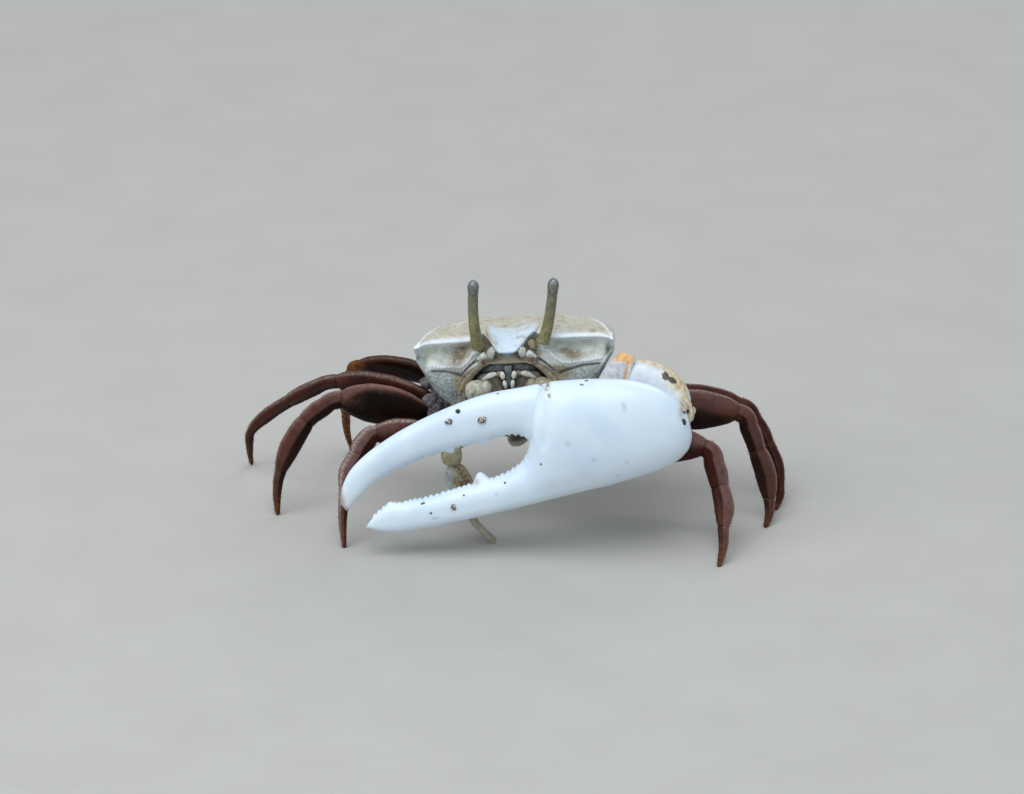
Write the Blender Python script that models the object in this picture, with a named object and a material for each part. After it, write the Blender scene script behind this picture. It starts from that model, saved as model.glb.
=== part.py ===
"""Male fiddler crab, life size, standing on eight legs with its great claw held across its face.

Sizes are in millimetres and are turned into metres as each object is made. +Z is up, the crab
faces -Y, and its left side, which bears the great claw, is at +X. The origin lies on the floor,
under the middle of the crab's box. Body sizes are in the body's own frame, which has the same
axes before the body is tipped and turned.
"""

import math

import bmesh
import bpy
from mathutils import Matrix, Vector

MM = 0.001
GAP = 0.3

# The body's place, and how it is tipped up at the front, turned and rolled, in degrees
BODY_CENTRE = Vector((-0.25, 1.0, 14.6))
BODY_PITCH = 10.0
BODY_YAW = -4.0
BODY_ROLL = -4.6

# The carapace is broader on the great claw's side
CARAPACE_SIDE = 10.0
LEFT_HALF_WIDTH = 10.3
RIGHT_HALF_WIDTH = 8.65

# Carapace forms at each distance from the midline, for a side that is CARAPACE_SIDE wide
BROW_Y = ((0, -6.2), (0.7, -6.2), (1.5, -5.95), (2.2, -5.5), (2.7, -5.1), (3.2, -5.15),
          (4.2, -5.45), (6.5, -5.4), (9, -5.5), (10, -5.75))
BROW_Z = ((0, 3.0), (0.7, 3.05), (1.5, 3.75), (2.2, 4.5), (2.7, 4.75), (3.2, 4.55), (4.2, 4.15),
          (8.5, 4.1), (9.4, 4.0), (10, 3.7))
FLOOR_Y = ((0, -5.0), (1.5, -4.6), (2.7, -4.1), (4, -4.0), (6.5, -4.2), (8.7, -4.6), (9.5, -4.9),
           (10, -4.7))
RIDGE_Y = ((0, -5.3), (3, -5.0), (5, -5.1), (8.7, -5.0), (10, -4.6))
RIDGE_Z = ((0, 2.5), (2.4, 2.5), (3.1, 2.9), (3.8, 2.9), (4.6, 2.0), (5.5, 1.45), (7.7, 1.55),
           (8.9, 1.7), (9.5, 2.3), (10, 2.7))
BOTTOM_Z = ((0, -4.1), (4, -4.0), (5.2, -3.7), (6.5, -2.8), (7.6, -1.6), (8.5, -0.3), (9.3, 1.1),
            (10, 2.1))
REAR_Y = ((0, 6.2), (4, 6.1), (5, 5.7), (6.5, 4.5), (8, 2.7), (9, 1.0), (9.6, -0.3), (10, -1.7))
CROWN_Z = ((0, 5.2), (4, 5.1), (7, 4.75), (8.6, 4.5), (9.4, 4.3), (10, 3.9))
REAR_FALL = ((0, 3.4), (5, 3.2), (8, 1.8), (9.3, 0.8), (10, 0.2))
CARAPACE_STATIONS = (0, 0.7, 1.4, 2.0, 2.5, 3.0, 3.6, 4.4, 5.4, 6.5, 7.6, 8.4, 9.1, 9.5, 9.8, 10)
SHELL_SAMPLES = 20
ORBIT_SAMPLES = 5
# The blunt spine at each outer corner stands out further on the right side
CORNER_REACH = {1: 10.1, -1: 10.6}
CORNER_Y = -5.8
CORNER_Z = 3.7

# The mouth frame is a recess, and the two outer mouthparts lie in it like doors
MOUTH_TOP_Z = 2.1
MOUTH_BOTTOM_Z = -6.0
MOUTH_TOP_HALF = 2.7
MOUTH_WIDE_HALF = 4.2
MOUTH_WIDE_Z = -1.2
MOUTH_FLOOR_Y = -3.7
JAW_FOOT_Z = -3.8
JAW_TOP_Z = 1.1
JAW_FRONT_Y = -5.5

# Leg bases on the breastplate, as (root, socket face centre, radius) for the right side
BREAST_TOP_Z = -4.5
BREAST_BOTTOM_Z = -6.0
BREAST_HALF_WIDTH = 3.9
BREAST_FRONT_Y = -4.0
BREAST_REAR_Y = 5.2
COXAE = {
    "leg_1": (Vector((3.0, -1.9, -5.5)), Vector((6.6, -2.9, -5.1)), 1.0),
    "leg_2": (Vector((3.2, 0.1, -5.7)), Vector((7.1, -0.2, -4.6)), 1.0),
    "leg_3": (Vector((3.2, 2.1, -5.6)), Vector((6.9, 3.1, -4.0)), 0.9),
    "leg_4": (Vector((2.8, 3.9, -5.1)), Vector((6.0, 5.6, -3.2)), 0.85),
    "great": (Vector((2.4, -3.2, -5.4)), Vector((4.9, -5.1, -5.3)), 0.95),
    "small": (Vector((2.4, -3.2, -5.3)), Vector((4.3, -4.9, -5.0)), 0.8),
}

# Knee, wrist, ankle and foot of each walking leg, front to rear
LEGS = {
    "leg_r1": ((-13.6, -4.0, 9.8), (-15.4, -5.5, 8.2), (-16.6, -7.7, 5.4), (-16.7, -9.3, 0)),
    "leg_r2": ((-17.1, 0.0, 11.7), (-20.5, -0.3, 9.6), (-23.1, -0.9, 4.5), (-23.4, -1.5, 0)),
    "leg_r3": ((-17.6, 5.3, 11.4), (-22.5, 7.1, 8.5), (-26.3, 9.3, 4.4), (-26.4, 10.9, 0)),
    "leg_r4": ((-15.3, 8.4, 11.8), (-16.6, 10.6, 8.8), (-17.0, 12.6, 4.7), (-16.4, 14.3, 0)),
    "leg_l1": ((18.3, -5.6, 9.0), (19.8, -8.0, 5.9), (20.1, -11.0, 3.0), (19.6, -13.8, 0)),
    "leg_l2": ((21.6, -1.0, 10.8), (23.6, -1.6, 7.1), (24.8, -2.7, 2.3), (24.4, -4.5, 0)),
    "leg_l3": ((21.9, 4.0, 9.5), (24.8, 2.9, 5.8), (26.0, 1.3, 1.9), (25.5, -0.3, 0)),
    "leg_l4": ((13.3, 9.5, 9.6), (14.6, 11.5, 6.4), (15.2, 12.8, 3.2), (15.3, 13.9, 0)),
}
# For each leg, the merus's greatest height and how far it bows up
MERUS_SIZE = {"r1": (3.2, -0.35), "r2": (4.0, 0.2), "r3": (3.5, 0.35), "r4": (3.0, 1.1),
              "l1": (3.8, -0.6), "l2": (4.0, 0.2), "l3": (3.3, 0.15), "l4": (3.0, 1.1)}
# For each pair, the heights of the carpus, the propodus and the dactyl against the second pair's
SEGMENT_SCALE = {"1": (1.05, 0.98, 1.0), "2": (0.97, 1.05, 1.0), "3": (0.85, 0.72, 0.85),
                 "4": (0.75, 0.65, 0.8)}
# Sections are (share of the length, height, thickness). Those of the merus are shares of its height
MERUS_SECTIONS = ((0, 0.42, 0.36), (0.15, 0.5, 0.4), (0.35, 0.82, 0.44), (0.55, 1.0, 0.46),
                  (0.7, 0.98, 0.44), (0.84, 0.8, 0.4), (0.94, 0.65, 0.37), (1, 0.56, 0.34))
CARPUS_SECTIONS = ((0, 1.6, 1.3), (0.2, 1.8, 1.45), (0.6, 1.9, 1.5), (0.85, 1.85, 1.45), (1, 1.6, 1.3))
PROPODUS_SECTIONS = ((0, 1.6, 1.3), (0.15, 1.85, 1.35), (0.5, 1.95, 1.3), (0.8, 1.6, 1.15), (1, 1.2, 1.0))
DACTYL_SECTIONS = ((0, 1.0, 0.9), (0.2, 1.05, 0.95), (0.5, 0.9, 0.8), (0.8, 0.7, 0.65), (1, 0.6, 0.58))
LEG_SIDES = 10

# The great claw's own frame: x runs from the heel to the finger tips, y up its height and z inward
CLAW_HEEL = Vector((17.3, -10.8, 12.32))
CLAW_DROOP = 13.0
CLAW_LEAN = 10.0
PALM_TOP = ((0.15, 2.4), (0.8, 3.9), (2.0, 5.2), (3.6, 6.3), (5.6, 7.1), (8.5, 7.8), (11, 8.2),
            (13.0, 8.35))
PALM_LOW = ((0.15, 0.0), (0.8, -1.0), (2.0, -1.8), (3.6, -2.35), (5.6, -2.75), (8.5, -3.05), (18.0, -3.4))
PALM_OUT = ((0.15, 0.9), (0.8, 1.6), (2.0, 2.3), (4, 2.9), (7, 3.15), (11, 2.9), (18, 1.9))
PALM_IN = ((0.15, 0.8), (0.8, 1.3), (2.0, 1.9), (4, 2.3), (7, 2.5), (11, 2.3), (18, 1.4))
PALM_STATIONS = (0.15, 0.5, 1.1, 2.0, 3.2, 4.8, 6.8, 9.0, 11.2)
PALM_SIDES = 20
KNUCKLE_TOP = Vector((12.9, 8.3, 0))
KNUCKLE_LOW = Vector((15.3, 2.9, 0))
POLLEX_TOP = ((9, 1.6), (13.5, 2.6), (15.6, 2.3), (16.5, 1.3), (17.6, 0.75), (19.5, 0.3), (22.4, 0.05),
              (26.4, -0.35), (29.2, -0.4), (30.4, -0.35), (31.5, -0.8), (32.4, -1.45))
POLLEX_LOW = ((9, -2.4), (13.5, -3.2), (17.8, -3.42), (21.8, -3.47), (25.7, -3.4), (28.7, -3.18),
              (30.6, -2.95), (31.8, -2.5), (32.4, -2.15))
POLLEX_THICK = ((9, 3.2), (14, 3.6), (18, 3.0), (24, 2.4), (29, 1.7), (31.5, 0.9), (32.4, 0.45))
POLLEX_STATIONS = (9, 11.5, 13.5, 15, 15.9, 16.8, 18, 20, 22.4, 25, 27.5, 29.3, 30.5, 31.5, 32.1, 32.4)
POLLEX_SIDES = 12
POLLEX_TIP = Vector((33.25, -1.95, 0))
# Moving finger: points on its upper and lower edges, from the knuckle to the tip
FINGER_TOP = ((13.35, 8.4), (15.4, 8.45), (18.0, 8.55), (20.5, 8.35), (23.2, 7.9), (26, 7.25),
              (28.8, 6.35), (31.4, 5.2), (33.3, 3.8), (34.4, 2.2), (34.8, 0.85))
FINGER_LOW = ((15.55, 3.1), (16.4, 4.05), (18.3, 4.2), (20.6, 4.15), (22.9, 4.05), (25.2, 3.85),
              (27.4, 3.5), (29.6, 2.95), (31.4, 2.25), (33.0, 1.25), (34.1, 0.45))
FINGER_THICK = ((0, 3.3), (0.15, 3.1), (0.4, 2.7), (0.7, 2.0), (0.9, 1.1), (1, 0.5))
FINGER_TIP = Vector((34.6, 0.05, 0))
FINGER_SIDES = 12
# Teeth as (place along the claw, height), each broad at its root
POLLEX_TEETH = ((18.9, 0.25), (21.2, 1.0), (24.6, 0.25), (25.8, 0.28), (27.0, 0.25), (28.2, 0.28),
                (29.4, 0.3), (30.4, 0.3))
BIG_TEETH_WIDTH = 1.6
SMALL_TEETH_WIDTH = 1.1
FINGER_TEETH = ((17.2, 0.2), (18.4, 0.22), (20.0, 0.75), (21.9, 0.22), (23.5, 0.7), (24.9, 0.25),
                (26.1, 0.25), (27.3, 0.22), (28.5, 0.2))

GREAT_CARPUS = (Vector((11.0, -6.5, 16.6)), Vector((13.1, -6.8, 16.1)), Vector((15.0, -7.6, 14.8)),
                Vector((15.9, -8.7, 13.5)))
GREAT_CARPUS_SECTIONS = ((0, 3.7, 2.6), (0.2, 4.6, 3.0), (0.5, 4.9, 3.3), (0.8, 4.3, 2.9), (1, 3.1, 2.1))
GREAT_MERUS_SECTIONS = ((0, 1.9, 1.8), (0.3, 2.3, 2.1), (0.6, 2.9, 2.3), (0.76, 5.1, 2.4), (0.85, 5.3, 2.5),
                        (0.92, 4.2, 2.5), (1, 2.7, 2.4))

# Small claw: elbow, wrist, knuckle and tip
SMALL_ELBOW = Vector((-6.3, -6.3, 9.6))
SMALL_WRIST = Vector((-6.2, -6.8, 7.6))
SMALL_KNUCKLE = Vector((-4.6, -7.2, 4.0))
SMALL_TIP = Vector((-2.1, -7.7, 0))
SMALL_MERUS_SECTIONS = ((0, 1.4, 1.2), (0.5, 1.9, 1.4), (1, 1.7, 1.4))
SMALL_CARPUS_SECTIONS = ((0, 1.6, 1.3), (0.5, 1.9, 1.5), (1, 1.5, 1.3))
SMALL_HAND_SECTIONS = ((0, 1.5, 1.2), (0.3, 2.4, 1.5), (0.7, 2.5, 1.5), (1, 2.0, 1.3))

# Eyestalks in world millimetres, from base to top
STALKS = {
    "right": (Vector((-3.65, -3.8, 18.75)), Vector((-4.0, -4.35, 21.0)), Vector((-4.15, -4.2, 23.0)),
              Vector((-4.15, -4.1, 24.8)), Vector((-4.1, -4.0, 26.0))),
    "left": (Vector((2.5, -4.45, 19.5)), Vector((3.0, -4.25, 21.0)), Vector((3.35, -4.1, 23.0)),
             Vector((3.55, -3.95, 24.9)), Vector((3.65, -3.85, 26.15))),
}
STALK_THICK = ((0, 0.8), (0.1, 0.95), (0.3, 1.0), (0.7, 0.98), (1, 1.0))
EYE_SHARE = 0.7
EYE_THICK = 1.14
STALK_SIDES = 12

# Feelers in body millimetres, mirrored on the left
FEELER = (Vector((2.0, -6.0, 2.85)), Vector((2.75, -5.9, 2.45)), Vector((3.65, -5.8, 1.8)),
          Vector((4.6, -5.75, 0.9)))
FEELER_THICK = ((0, 0.9), (0.2, 0.8), (0.4, 0.6), (0.85, 0.5), (1, 0.35))

# Tail flap under the breastplate: (y, z, width) along its middle, from the carapace's rear edge
TAIL = ((6.85, 1.1, 4.6), (7.3, -0.8, 4.6), (7.2, -3.2, 4.2), (6.4, -5.8, 3.8), (4.1, -7.1, 3.2),
        (1.2, -7.1, 2.4), (-1.4, -7.0, 1.7), (-2.6, -6.95, 0.9))
TAIL_THICK = 0.7

COLOURS = {
    "carapace": ((0.72, 0.67, 0.56, 1), 0.55),
    "breast": ((0.62, 0.58, 0.52, 1), 0.6),
    "mouthparts": ((0.55, 0.5, 0.38, 1), 0.5),
    "great_claw": ((0.86, 0.88, 0.9, 1), 0.35),
    "small_claw": ((0.6, 0.52, 0.36, 1), 0.5),
    "leg": ((0.12, 0.04, 0.035, 1), 0.4),
    "eyestalk": ((0.3, 0.3, 0.13, 1), 0.4),
    "eye": ((0.2, 0.21, 0.22, 1), 0.25),
}


def smooth(points, at):
    """The value at a place on the smooth line through (place, value) points, which never overshoots."""
    if at <= points[0][0]:
        return points[0][1]
    if at >= points[-1][0]:
        return points[-1][1]
    steps = [(b[1] - a[1]) / (b[0] - a[0]) for a, b in zip(points, points[1:])]
    slopes = [steps[0]]
    for a, b in zip(steps, steps[1:]):
        slopes.append(0 if a * b <= 0 else 2 * a * b / (a + b))
    slopes.append(steps[-1])
    i = max(k for k in range(len(points) - 1) if points[k][0] <= at)
    width = points[i + 1][0] - points[i][0]
    t = (at - points[i][0]) / width
    low, high = points[i][1], points[i + 1][1]
    return (low * (2 * t ** 3 - 3 * t ** 2 + 1) + high * (3 * t ** 2 - 2 * t ** 3)
            + width * (slopes[i] * (t ** 3 - 2 * t ** 2 + t) + slopes[i + 1] * (t ** 3 - t ** 2)))


def along(points, share):
    """The point at a share of the way along the smooth curve through points."""
    spans = len(points) - 1
    i = min(int(share * spans), spans - 1)
    t = share * spans - i
    a, b = Vector(points[i]), Vector(points[i + 1])
    before = Vector(points[i - 1]) if i else 2 * a - b
    after = Vector(points[i + 2]) if i + 2 <= spans else 2 * b - a
    return 0.5 * (2 * a + (b - before) * t + (2 * before - 5 * a + 4 * b - after) * t ** 2
                  + (3 * a - before - 3 * b + after) * t ** 3)


def section(sections, share):
    """Height and thickness at a share of the length, from (share, height, thickness) rows."""
    return (smooth([(s[0], s[1]) for s in sections], share),
            smooth([(s[0], s[2]) for s in sections], share))


def oval(centre, up, side, half_up, half_side, sides, squareness=2.0):
    """A ring of points round a centre. A squareness above 2 fills out its corners."""
    ring = []
    for k in range(sides):
        angle = 2 * math.pi * k / sides
        c, s = math.cos(angle), math.sin(angle)
        high = math.copysign(abs(c) ** (2 / squareness), c) * half_up
        wide = math.copysign(abs(s) ** (2 / squareness), s) * half_side
        ring.append(centre + up * high + side * wide)
    return ring


def make(name, rings, start_tip=None, end_tip=None):
    """A closed mesh object, still in millimetres, skinned over rings, with a tip or a flat at each end."""
    mesh = bpy.data.meshes.new(name)
    bm = bmesh.new()
    rows = [[bm.verts.new(p) for p in ring] for ring in rings]
    for row, beyond in zip(rows, rows[1:]):
        for k in range(len(row)):
            after = (k + 1) % len(row)
            bm.faces.new((row[k], row[after], beyond[after], beyond[k]))
    for row, tip in ((rows[0], start_tip), (rows[-1], end_tip)):
        if tip is None:
            bm.faces.new(row)
            continue
        point = bm.verts.new(tip)
        for k in range(len(row)):
            bm.faces.new((row[k], row[(k + 1) % len(row)], point))
    bmesh.ops.recalc_face_normals(bm, faces=bm.faces)
    bm.to_mesh(mesh)
    bm.free()
    obj = bpy.data.objects.new(name, mesh)
    bpy.context.scene.collection.objects.link(obj)
    return obj


def largest_body(mesh):
    """Drops every loose scrap of a mesh but the body with the most volume."""
    bm = bmesh.new()
    bm.from_mesh(mesh)
    left = set(bm.verts)
    bodies = []
    while left:
        found = {left.pop()}
        edge = set(found)
        while edge:
            edge = {e.other_vert(v) for v in edge for e in v.link_edges} - found
            found |= edge
        left -= found
        corners = [v.co for v in found]
        spread = [max(c[i] for c in corners) - min(c[i] for c in corners) for i in range(3)]
        bodies.append((spread[0] * spread[1] * spread[2], found))
    bodies.sort(key=lambda body: body[0])
    scraps = [v for body in bodies[:-1] for v in body[1]]
    bmesh.ops.delete(bm, geom=scraps, context="VERTS")
    bm.to_mesh(mesh)
    bm.free()


def combine(base, others, operation):
    """Joins other objects to the base, or cuts them from it, and removes them."""
    group = bpy.data.collections.new("pieces")
    bpy.context.scene.collection.children.link(group)
    for other in others:
        bpy.context.scene.collection.objects.unlink(other)
        group.objects.link(other)
    modifier = base.modifiers.new(operation.lower(), "BOOLEAN")
    modifier.operation = operation
    modifier.operand_type = "COLLECTION"
    modifier.collection = group
    modifier.solver = "EXACT"
    bpy.context.view_layer.update()
    graph = bpy.context.evaluated_depsgraph_get()
    mesh = bpy.data.meshes.new_from_object(base.evaluated_get(graph))
    base.modifiers.clear()
    base.data = mesh
    largest_body(mesh)
    for other in others:
        bpy.data.objects.remove(other)
    bpy.data.collections.remove(group)
    return base


def finish(obj, material, origin, parent=None):
    """Turns an object into metres, with its origin at a joint, its material and its parent."""
    obj.data.transform(Matrix.Translation(-origin))
    obj.data.transform(Matrix.Scale(MM, 4))
    obj["joint"] = list(origin)
    obj.location = origin * MM
    if parent is not None:
        obj.parent = parent
        obj.location = (origin - Vector(parent["joint"])) * MM
    obj.data.materials.clear()
    obj.data.materials.append(MATERIALS[material])
    obj.data.shade_smooth()
    obj.data.set_sharp_from_angle(angle=math.radians(40))
    return obj


def make_materials():
    """One Principled material for each finish."""
    made = {}
    for name, (colour, roughness) in COLOURS.items():
        made[name] = bpy.data.materials.new(name)
        made[name].use_nodes = True
        shader = made[name].node_tree.nodes["Principled BSDF"]
        shader.inputs["Base Color"].default_value = colour
        shader.inputs["Roughness"].default_value = roughness
        shader.inputs["Metallic"].default_value = 0
    return made


def body_matrix():
    """Carries the body's own frame to its place in the stance."""
    turn = Matrix.Rotation(math.radians(BODY_YAW), 4, "Z")
    roll = Matrix.Rotation(math.radians(BODY_ROLL), 4, "Y")
    tip = Matrix.Rotation(-math.radians(BODY_PITCH), 4, "X")
    return Matrix.Translation(BODY_CENTRE) @ turn @ roll @ tip


def half_width(side):
    """The carapace's half width on the left, side 1, or the right, side -1."""
    return LEFT_HALF_WIDTH if side > 0 else RIGHT_HALF_WIDTH


def carapace_ring(place, side):
    """The carapace's outline at one distance from the midline, seen from the side."""
    front, rear = smooth(BROW_Y, place), smooth(REAR_Y, place)
    brow, crown, low = smooth(BROW_Z, place), smooth(CROWN_Z, place), smooth(BOTTOM_Z, place)
    ridge_y, ridge_z = smooth(RIDGE_Y, place), smooth(RIDGE_Z, place)
    fall, length = smooth(REAR_FALL, place), rear - front
    rear_z = crown - fall
    shell = ((front, brow), (front + 0.14 * length, brow + 0.72 * (crown - brow)),
             (front + 0.4 * length, crown),
             (front + 0.7 * length, crown - 0.16 * fall), (front + 0.91 * length, crown - 0.55 * fall),
             (rear, rear_z), (rear - 0.03 * length, low + 0.5 * (rear_z - low)),
             (rear - 0.22 * length, low + 0.06 * (rear_z - low)), (ridge_y + 0.14 * length, low),
             (ridge_y - 0.02 * length, low + 0.4 * (ridge_z - low)), (ridge_y, ridge_z))
    orbit = ((ridge_y, ridge_z), (smooth(FLOOR_Y, place), 0.45 * ridge_z + 0.55 * brow), (front, brow))
    x = side * place * half_width(side) / CARAPACE_SIDE
    outline = [along([Vector((x, *p)) for p in shell], k / SHELL_SAMPLES) for k in range(SHELL_SAMPLES)]
    outline += [along([Vector((x, *p)) for p in orbit], k / ORBIT_SAMPLES) for k in range(ORBIT_SAMPLES)]
    return outline


def corner_spine(side):
    """The tip of the blunt spine at an outer corner of the carapace."""
    return Vector((side * CORNER_REACH[side] * half_width(side) / CARAPACE_SIDE, CORNER_Y, CORNER_Z))


def mouth_half(z):
    """The half width of the mouth frame at a height."""
    return smooth(((MOUTH_BOTTOM_Z, MOUTH_WIDE_HALF - 0.4), (MOUTH_WIDE_Z, MOUTH_WIDE_HALF),
                   (MOUTH_TOP_Z, MOUTH_TOP_HALF)), z)


def make_carapace(body):
    """The shell with its front, eye sockets and spined corners, cut back for the mouthparts."""
    places = [(-1, p) for p in reversed(CARAPACE_STATIONS[1:])] + [(1, p) for p in CARAPACE_STATIONS]
    rings = [carapace_ring(place, side) for side, place in places]
    shell = make("carapace", rings, corner_spine(-1), corner_spine(1))
    heights = (MOUTH_BOTTOM_Z, -3.5, MOUTH_WIDE_Z, 0.5, 1.5, MOUTH_TOP_Z)
    cut = []
    for z in heights:
        half = mouth_half(z)
        cut.append([Vector((-half, -9, z)), Vector((half, -9, z)), Vector((half, MOUTH_FLOOR_Y, z)),
                    Vector((-half, MOUTH_FLOOR_Y, z))])
    combine(shell, [make("mouth", cut)], "DIFFERENCE")
    shell.data.transform(body)
    return finish(shell, "carapace", BODY_CENTRE)


def make_breastplate(body, carapace):
    """The breastplate under the body, with a stub for the base of every limb."""
    rings = []
    for k in range(9):
        share = k / 8
        y = BREAST_FRONT_Y + share * (BREAST_REAR_Y - BREAST_FRONT_Y)
        half = BREAST_HALF_WIDTH * (0.45 + 0.55 * math.sin(math.pi * min(1, 0.16 + 0.7 * share)))
        ring = []
        for j in range(9):
            angle = math.pi * j / 8
            drop = (BREAST_BOTTOM_Z - BREAST_TOP_Z) * math.sin(angle) ** 0.7
            ring.append(Vector((half * math.cos(angle), y, BREAST_TOP_Z + min(drop, -0.25))))
        ring += [Vector((-half * 0.96, y, BREAST_TOP_Z)), Vector((half * 0.96, y, BREAST_TOP_Z))]
        rings.append(ring)
    plate = make("breastplate", rings)
    stubs = []
    limbs = [(f"leg_{n}", side) for n in range(1, 5) for side in (-1, 1)]
    for limb, side in limbs + [("great", 1), ("small", -1)]:
        root, socket, radius = COXAE[limb]
        root = Vector((side * root.x, root.y, root.z))
        socket = Vector((side * socket.x, socket.y, socket.z))
        run = (socket - root).normalized()
        side_way = run.cross(Vector((0, 0, 1))).normalized()
        up = side_way.cross(run)
        widths = ((0, 0.75), (0.5, 1.0), (1, 0.85))
        stub_rings = []
        for share, width in widths:
            centre = root.lerp(socket, share)
            stub_rings.append(oval(centre, up, side_way, radius * width, radius * width, 8))
        stubs.append(make("stub", stub_rings))
    combine(plate, stubs, "UNION")
    plate.data.transform(body)
    return finish(plate, "breast", body @ Vector((0, 0, BREAST_TOP_Z)), carapace)


def make_tail(body, carapace):
    """The narrow tail flap, folded under the breastplate, in one piece with its joints as grooves."""
    rings = []
    steps = 16
    for k in range(steps + 1):
        share = k / steps
        here = along([Vector((0, t[0], t[1])) for t in TAIL], share)
        ahead = along([Vector((0, t[0], t[1])) for t in TAIL], min(1, share + 0.01))
        behind = along([Vector((0, t[0], t[1])) for t in TAIL], max(0, share - 0.01))
        run = (ahead - behind).normalized()
        out = Vector((0, -run.z, run.y))
        width = smooth([(i / (len(TAIL) - 1), t[2]) for i, t in enumerate(TAIL)], share)
        groove = 0.82 if k % 4 == 2 else 1.0
        rings.append(oval(here, out, Vector((1, 0, 0)), 0.5 * TAIL_THICK * groove,
                          0.5 * width * (0.4 + 0.6 * groove), 10, 2.8))
    tail = make("tail_flap", rings)
    tail.data.transform(body)
    return finish(tail, "breast", body @ Vector((0, TAIL[0][0], TAIL[0][1])), carapace)


def make_mouthpart(body, side, carapace):
    """One door of the mouth: a broad plate with the knuckle of its palp and the palp's beads."""
    name = "mouthpart_left" if side > 0 else "mouthpart_right"
    rings = []
    for k in range(10):
        share = k / 9
        z = JAW_FOOT_Z + share * (JAW_TOP_Z - JAW_FOOT_Z)
        outer = mouth_half(z) - 1.4 * GAP
        narrow = 1 - 0.35 * max(0, share - 0.8) / 0.2
        inner = 0.5 * GAP + (0.25 if share > 0.85 else 0)
        mid, half = 0.5 * (outer * narrow + inner), 0.5 * (outer * narrow - inner)
        back = MOUTH_FLOOR_Y - GAP
        front = JAW_FRONT_Y + 0.5 * (1 - math.sin(math.pi * min(1, 0.25 + 0.6 * share)))
        crease = 0.15 if k == 5 else 0
        rings.append(oval(Vector((side * mid, 0.5 * (back + front + crease), z)), Vector((0, -1, 0)),
                          Vector((side, 0, 0)), 0.5 * (back - front - crease), half, 12, 3.2))
    plate = make(name, rings)
    knuckle = []
    for share, radius in ((0, 0.35), (0.2, 0.75), (0.5, 0.95), (0.8, 0.75), (1, 0.35)):
        centre = Vector((side * (2.75 - 0.2 * share), -5.45, -1.7 + 2.2 * share))
        knuckle.append(oval(centre, Vector((0, -1, 0)), Vector((side, 0, 0)), radius, radius * 0.85, 8))
    beads = [make("palp", knuckle)]
    for top, length, radius in ((Vector((0.75 * side, -5.55, 1.15)), 0.8, 0.33),
                                (Vector((0.5 * side, -5.6, 0.35)), 0.9, 0.28)):
        bead = []
        for share, width in ((0, 0.5), (0.3, 1.0), (0.7, 0.95), (1, 0.45)):
            centre = top + Vector((0, 0, -length * share))
            bead.append(oval(centre, Vector((0, -1, 0)), Vector((side, 0, 0)), radius * width * 1.4,
                             radius * width, 8))
        beads.append(make("bead", bead))
    combine(plate, beads, "UNION")
    plate.data.transform(body)
    return finish(plate, "mouthparts", body @ Vector((side * 2, MOUTH_FLOOR_Y, JAW_FOOT_Z)), carapace)


def make_eyestalk(side, carapace):
    """A stalk and the long eye that caps it."""
    word = "left" if side > 0 else "right"
    path = STALKS[word]
    length = sum((b - a).length for a, b in zip(path, path[1:]))
    made = []
    for name, start, end, steps in ((f"eyestalk_{word}", 0, EYE_SHARE - GAP / length / 2, 9),
                                    (f"eye_{word}", EYE_SHARE + GAP / length / 2, 1, 7)):
        rings = []
        for k in range(steps + 1):
            share = start + (end - start) * k / steps
            here = along(path, share)
            run = (along(path, min(1, share + 0.02)) - along(path, max(0, share - 0.02))).normalized()
            across = run.cross(Vector((0, 1, 0))).normalized()
            thick = smooth(STALK_THICK, share)
            if name.startswith("eye_"):
                rise = k / steps
                thick = EYE_THICK * math.sqrt(max(0.03, 1 - max(0, (rise - 0.45) / 0.56) ** 2))
                thick = min(thick, 1.0 + 0.5 * rise)
            rings.append(oval(here, run.cross(across), across, 0.5 * thick, 0.5 * thick, STALK_SIDES))
        made.append(make(name, rings))
    stalk = finish(made[0], "eyestalk", path[0], carapace)
    finish(made[1], "eye", along(path, EYE_SHARE), stalk)


def make_feeler(body, side, carapace):
    """A short feeler that lies along the inner end of the eye socket."""
    word = "left" if side > 0 else "right"
    path = [Vector((side * p.x, p.y, p.z)) for p in FEELER]
    rings = []
    for k in range(13):
        share = k / 12
        run = (along(path, min(1, share + 0.02)) - along(path, max(0, share - 0.02))).normalized()
        across = run.cross(Vector((0, 1, 0))).normalized()
        thick = smooth(FEELER_THICK, share)
        rings.append(oval(along(path, share), run.cross(across), across, 0.5 * thick, 0.5 * thick, 8))
    feeler = make(f"feeler_{word}", rings)
    feeler.data.transform(body)
    return finish(feeler, "mouthparts", body @ path[0], carapace)


def joint_plane(before, joint, after):
    """The direction across which two neighbouring segments face each other."""
    return ((joint - before).normalized() + (after - joint).normalized()).normalized()


def make_segment(name, start, end, start_face, end_face, sections, side_way, arch=0.0,
                 sides=LEG_SIDES, steps=6, end_gap=GAP / 2, start_gap=GAP / 2):
    """A limb segment whose end faces lie across the joints that it shares with its neighbours."""
    run = (end - start).normalized()
    side_way = (side_way - run * side_way.dot(run)).normalized()
    up = run.cross(side_way)
    first = start + run * (start_gap / abs(run.dot(start_face)))
    last = end - run * (end_gap / abs(run.dot(end_face)))
    rings = []
    for k in range(steps + 1):
        share = k / steps
        height, thick = section(sections, share)
        centre = first.lerp(last, share) + up * (4 * arch * share * (1 - share))
        ring = oval(centre, up, side_way, 0.5 * height, 0.5 * thick, sides, 2.2)
        for face, near in ((start_face, 1 - share), (end_face, share)):
            weight = max(0.0, (near - 0.6) / 0.4)
            slope = face / run.dot(face)
            ring = [p - run * (weight * (p - centre).dot(slope)) for p in ring]
        rings.append(ring)
    return make(name, rings)


def scaled(sections, scale):
    return tuple((share, height * scale, thick * scale) for share, height, thick in sections)


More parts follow.
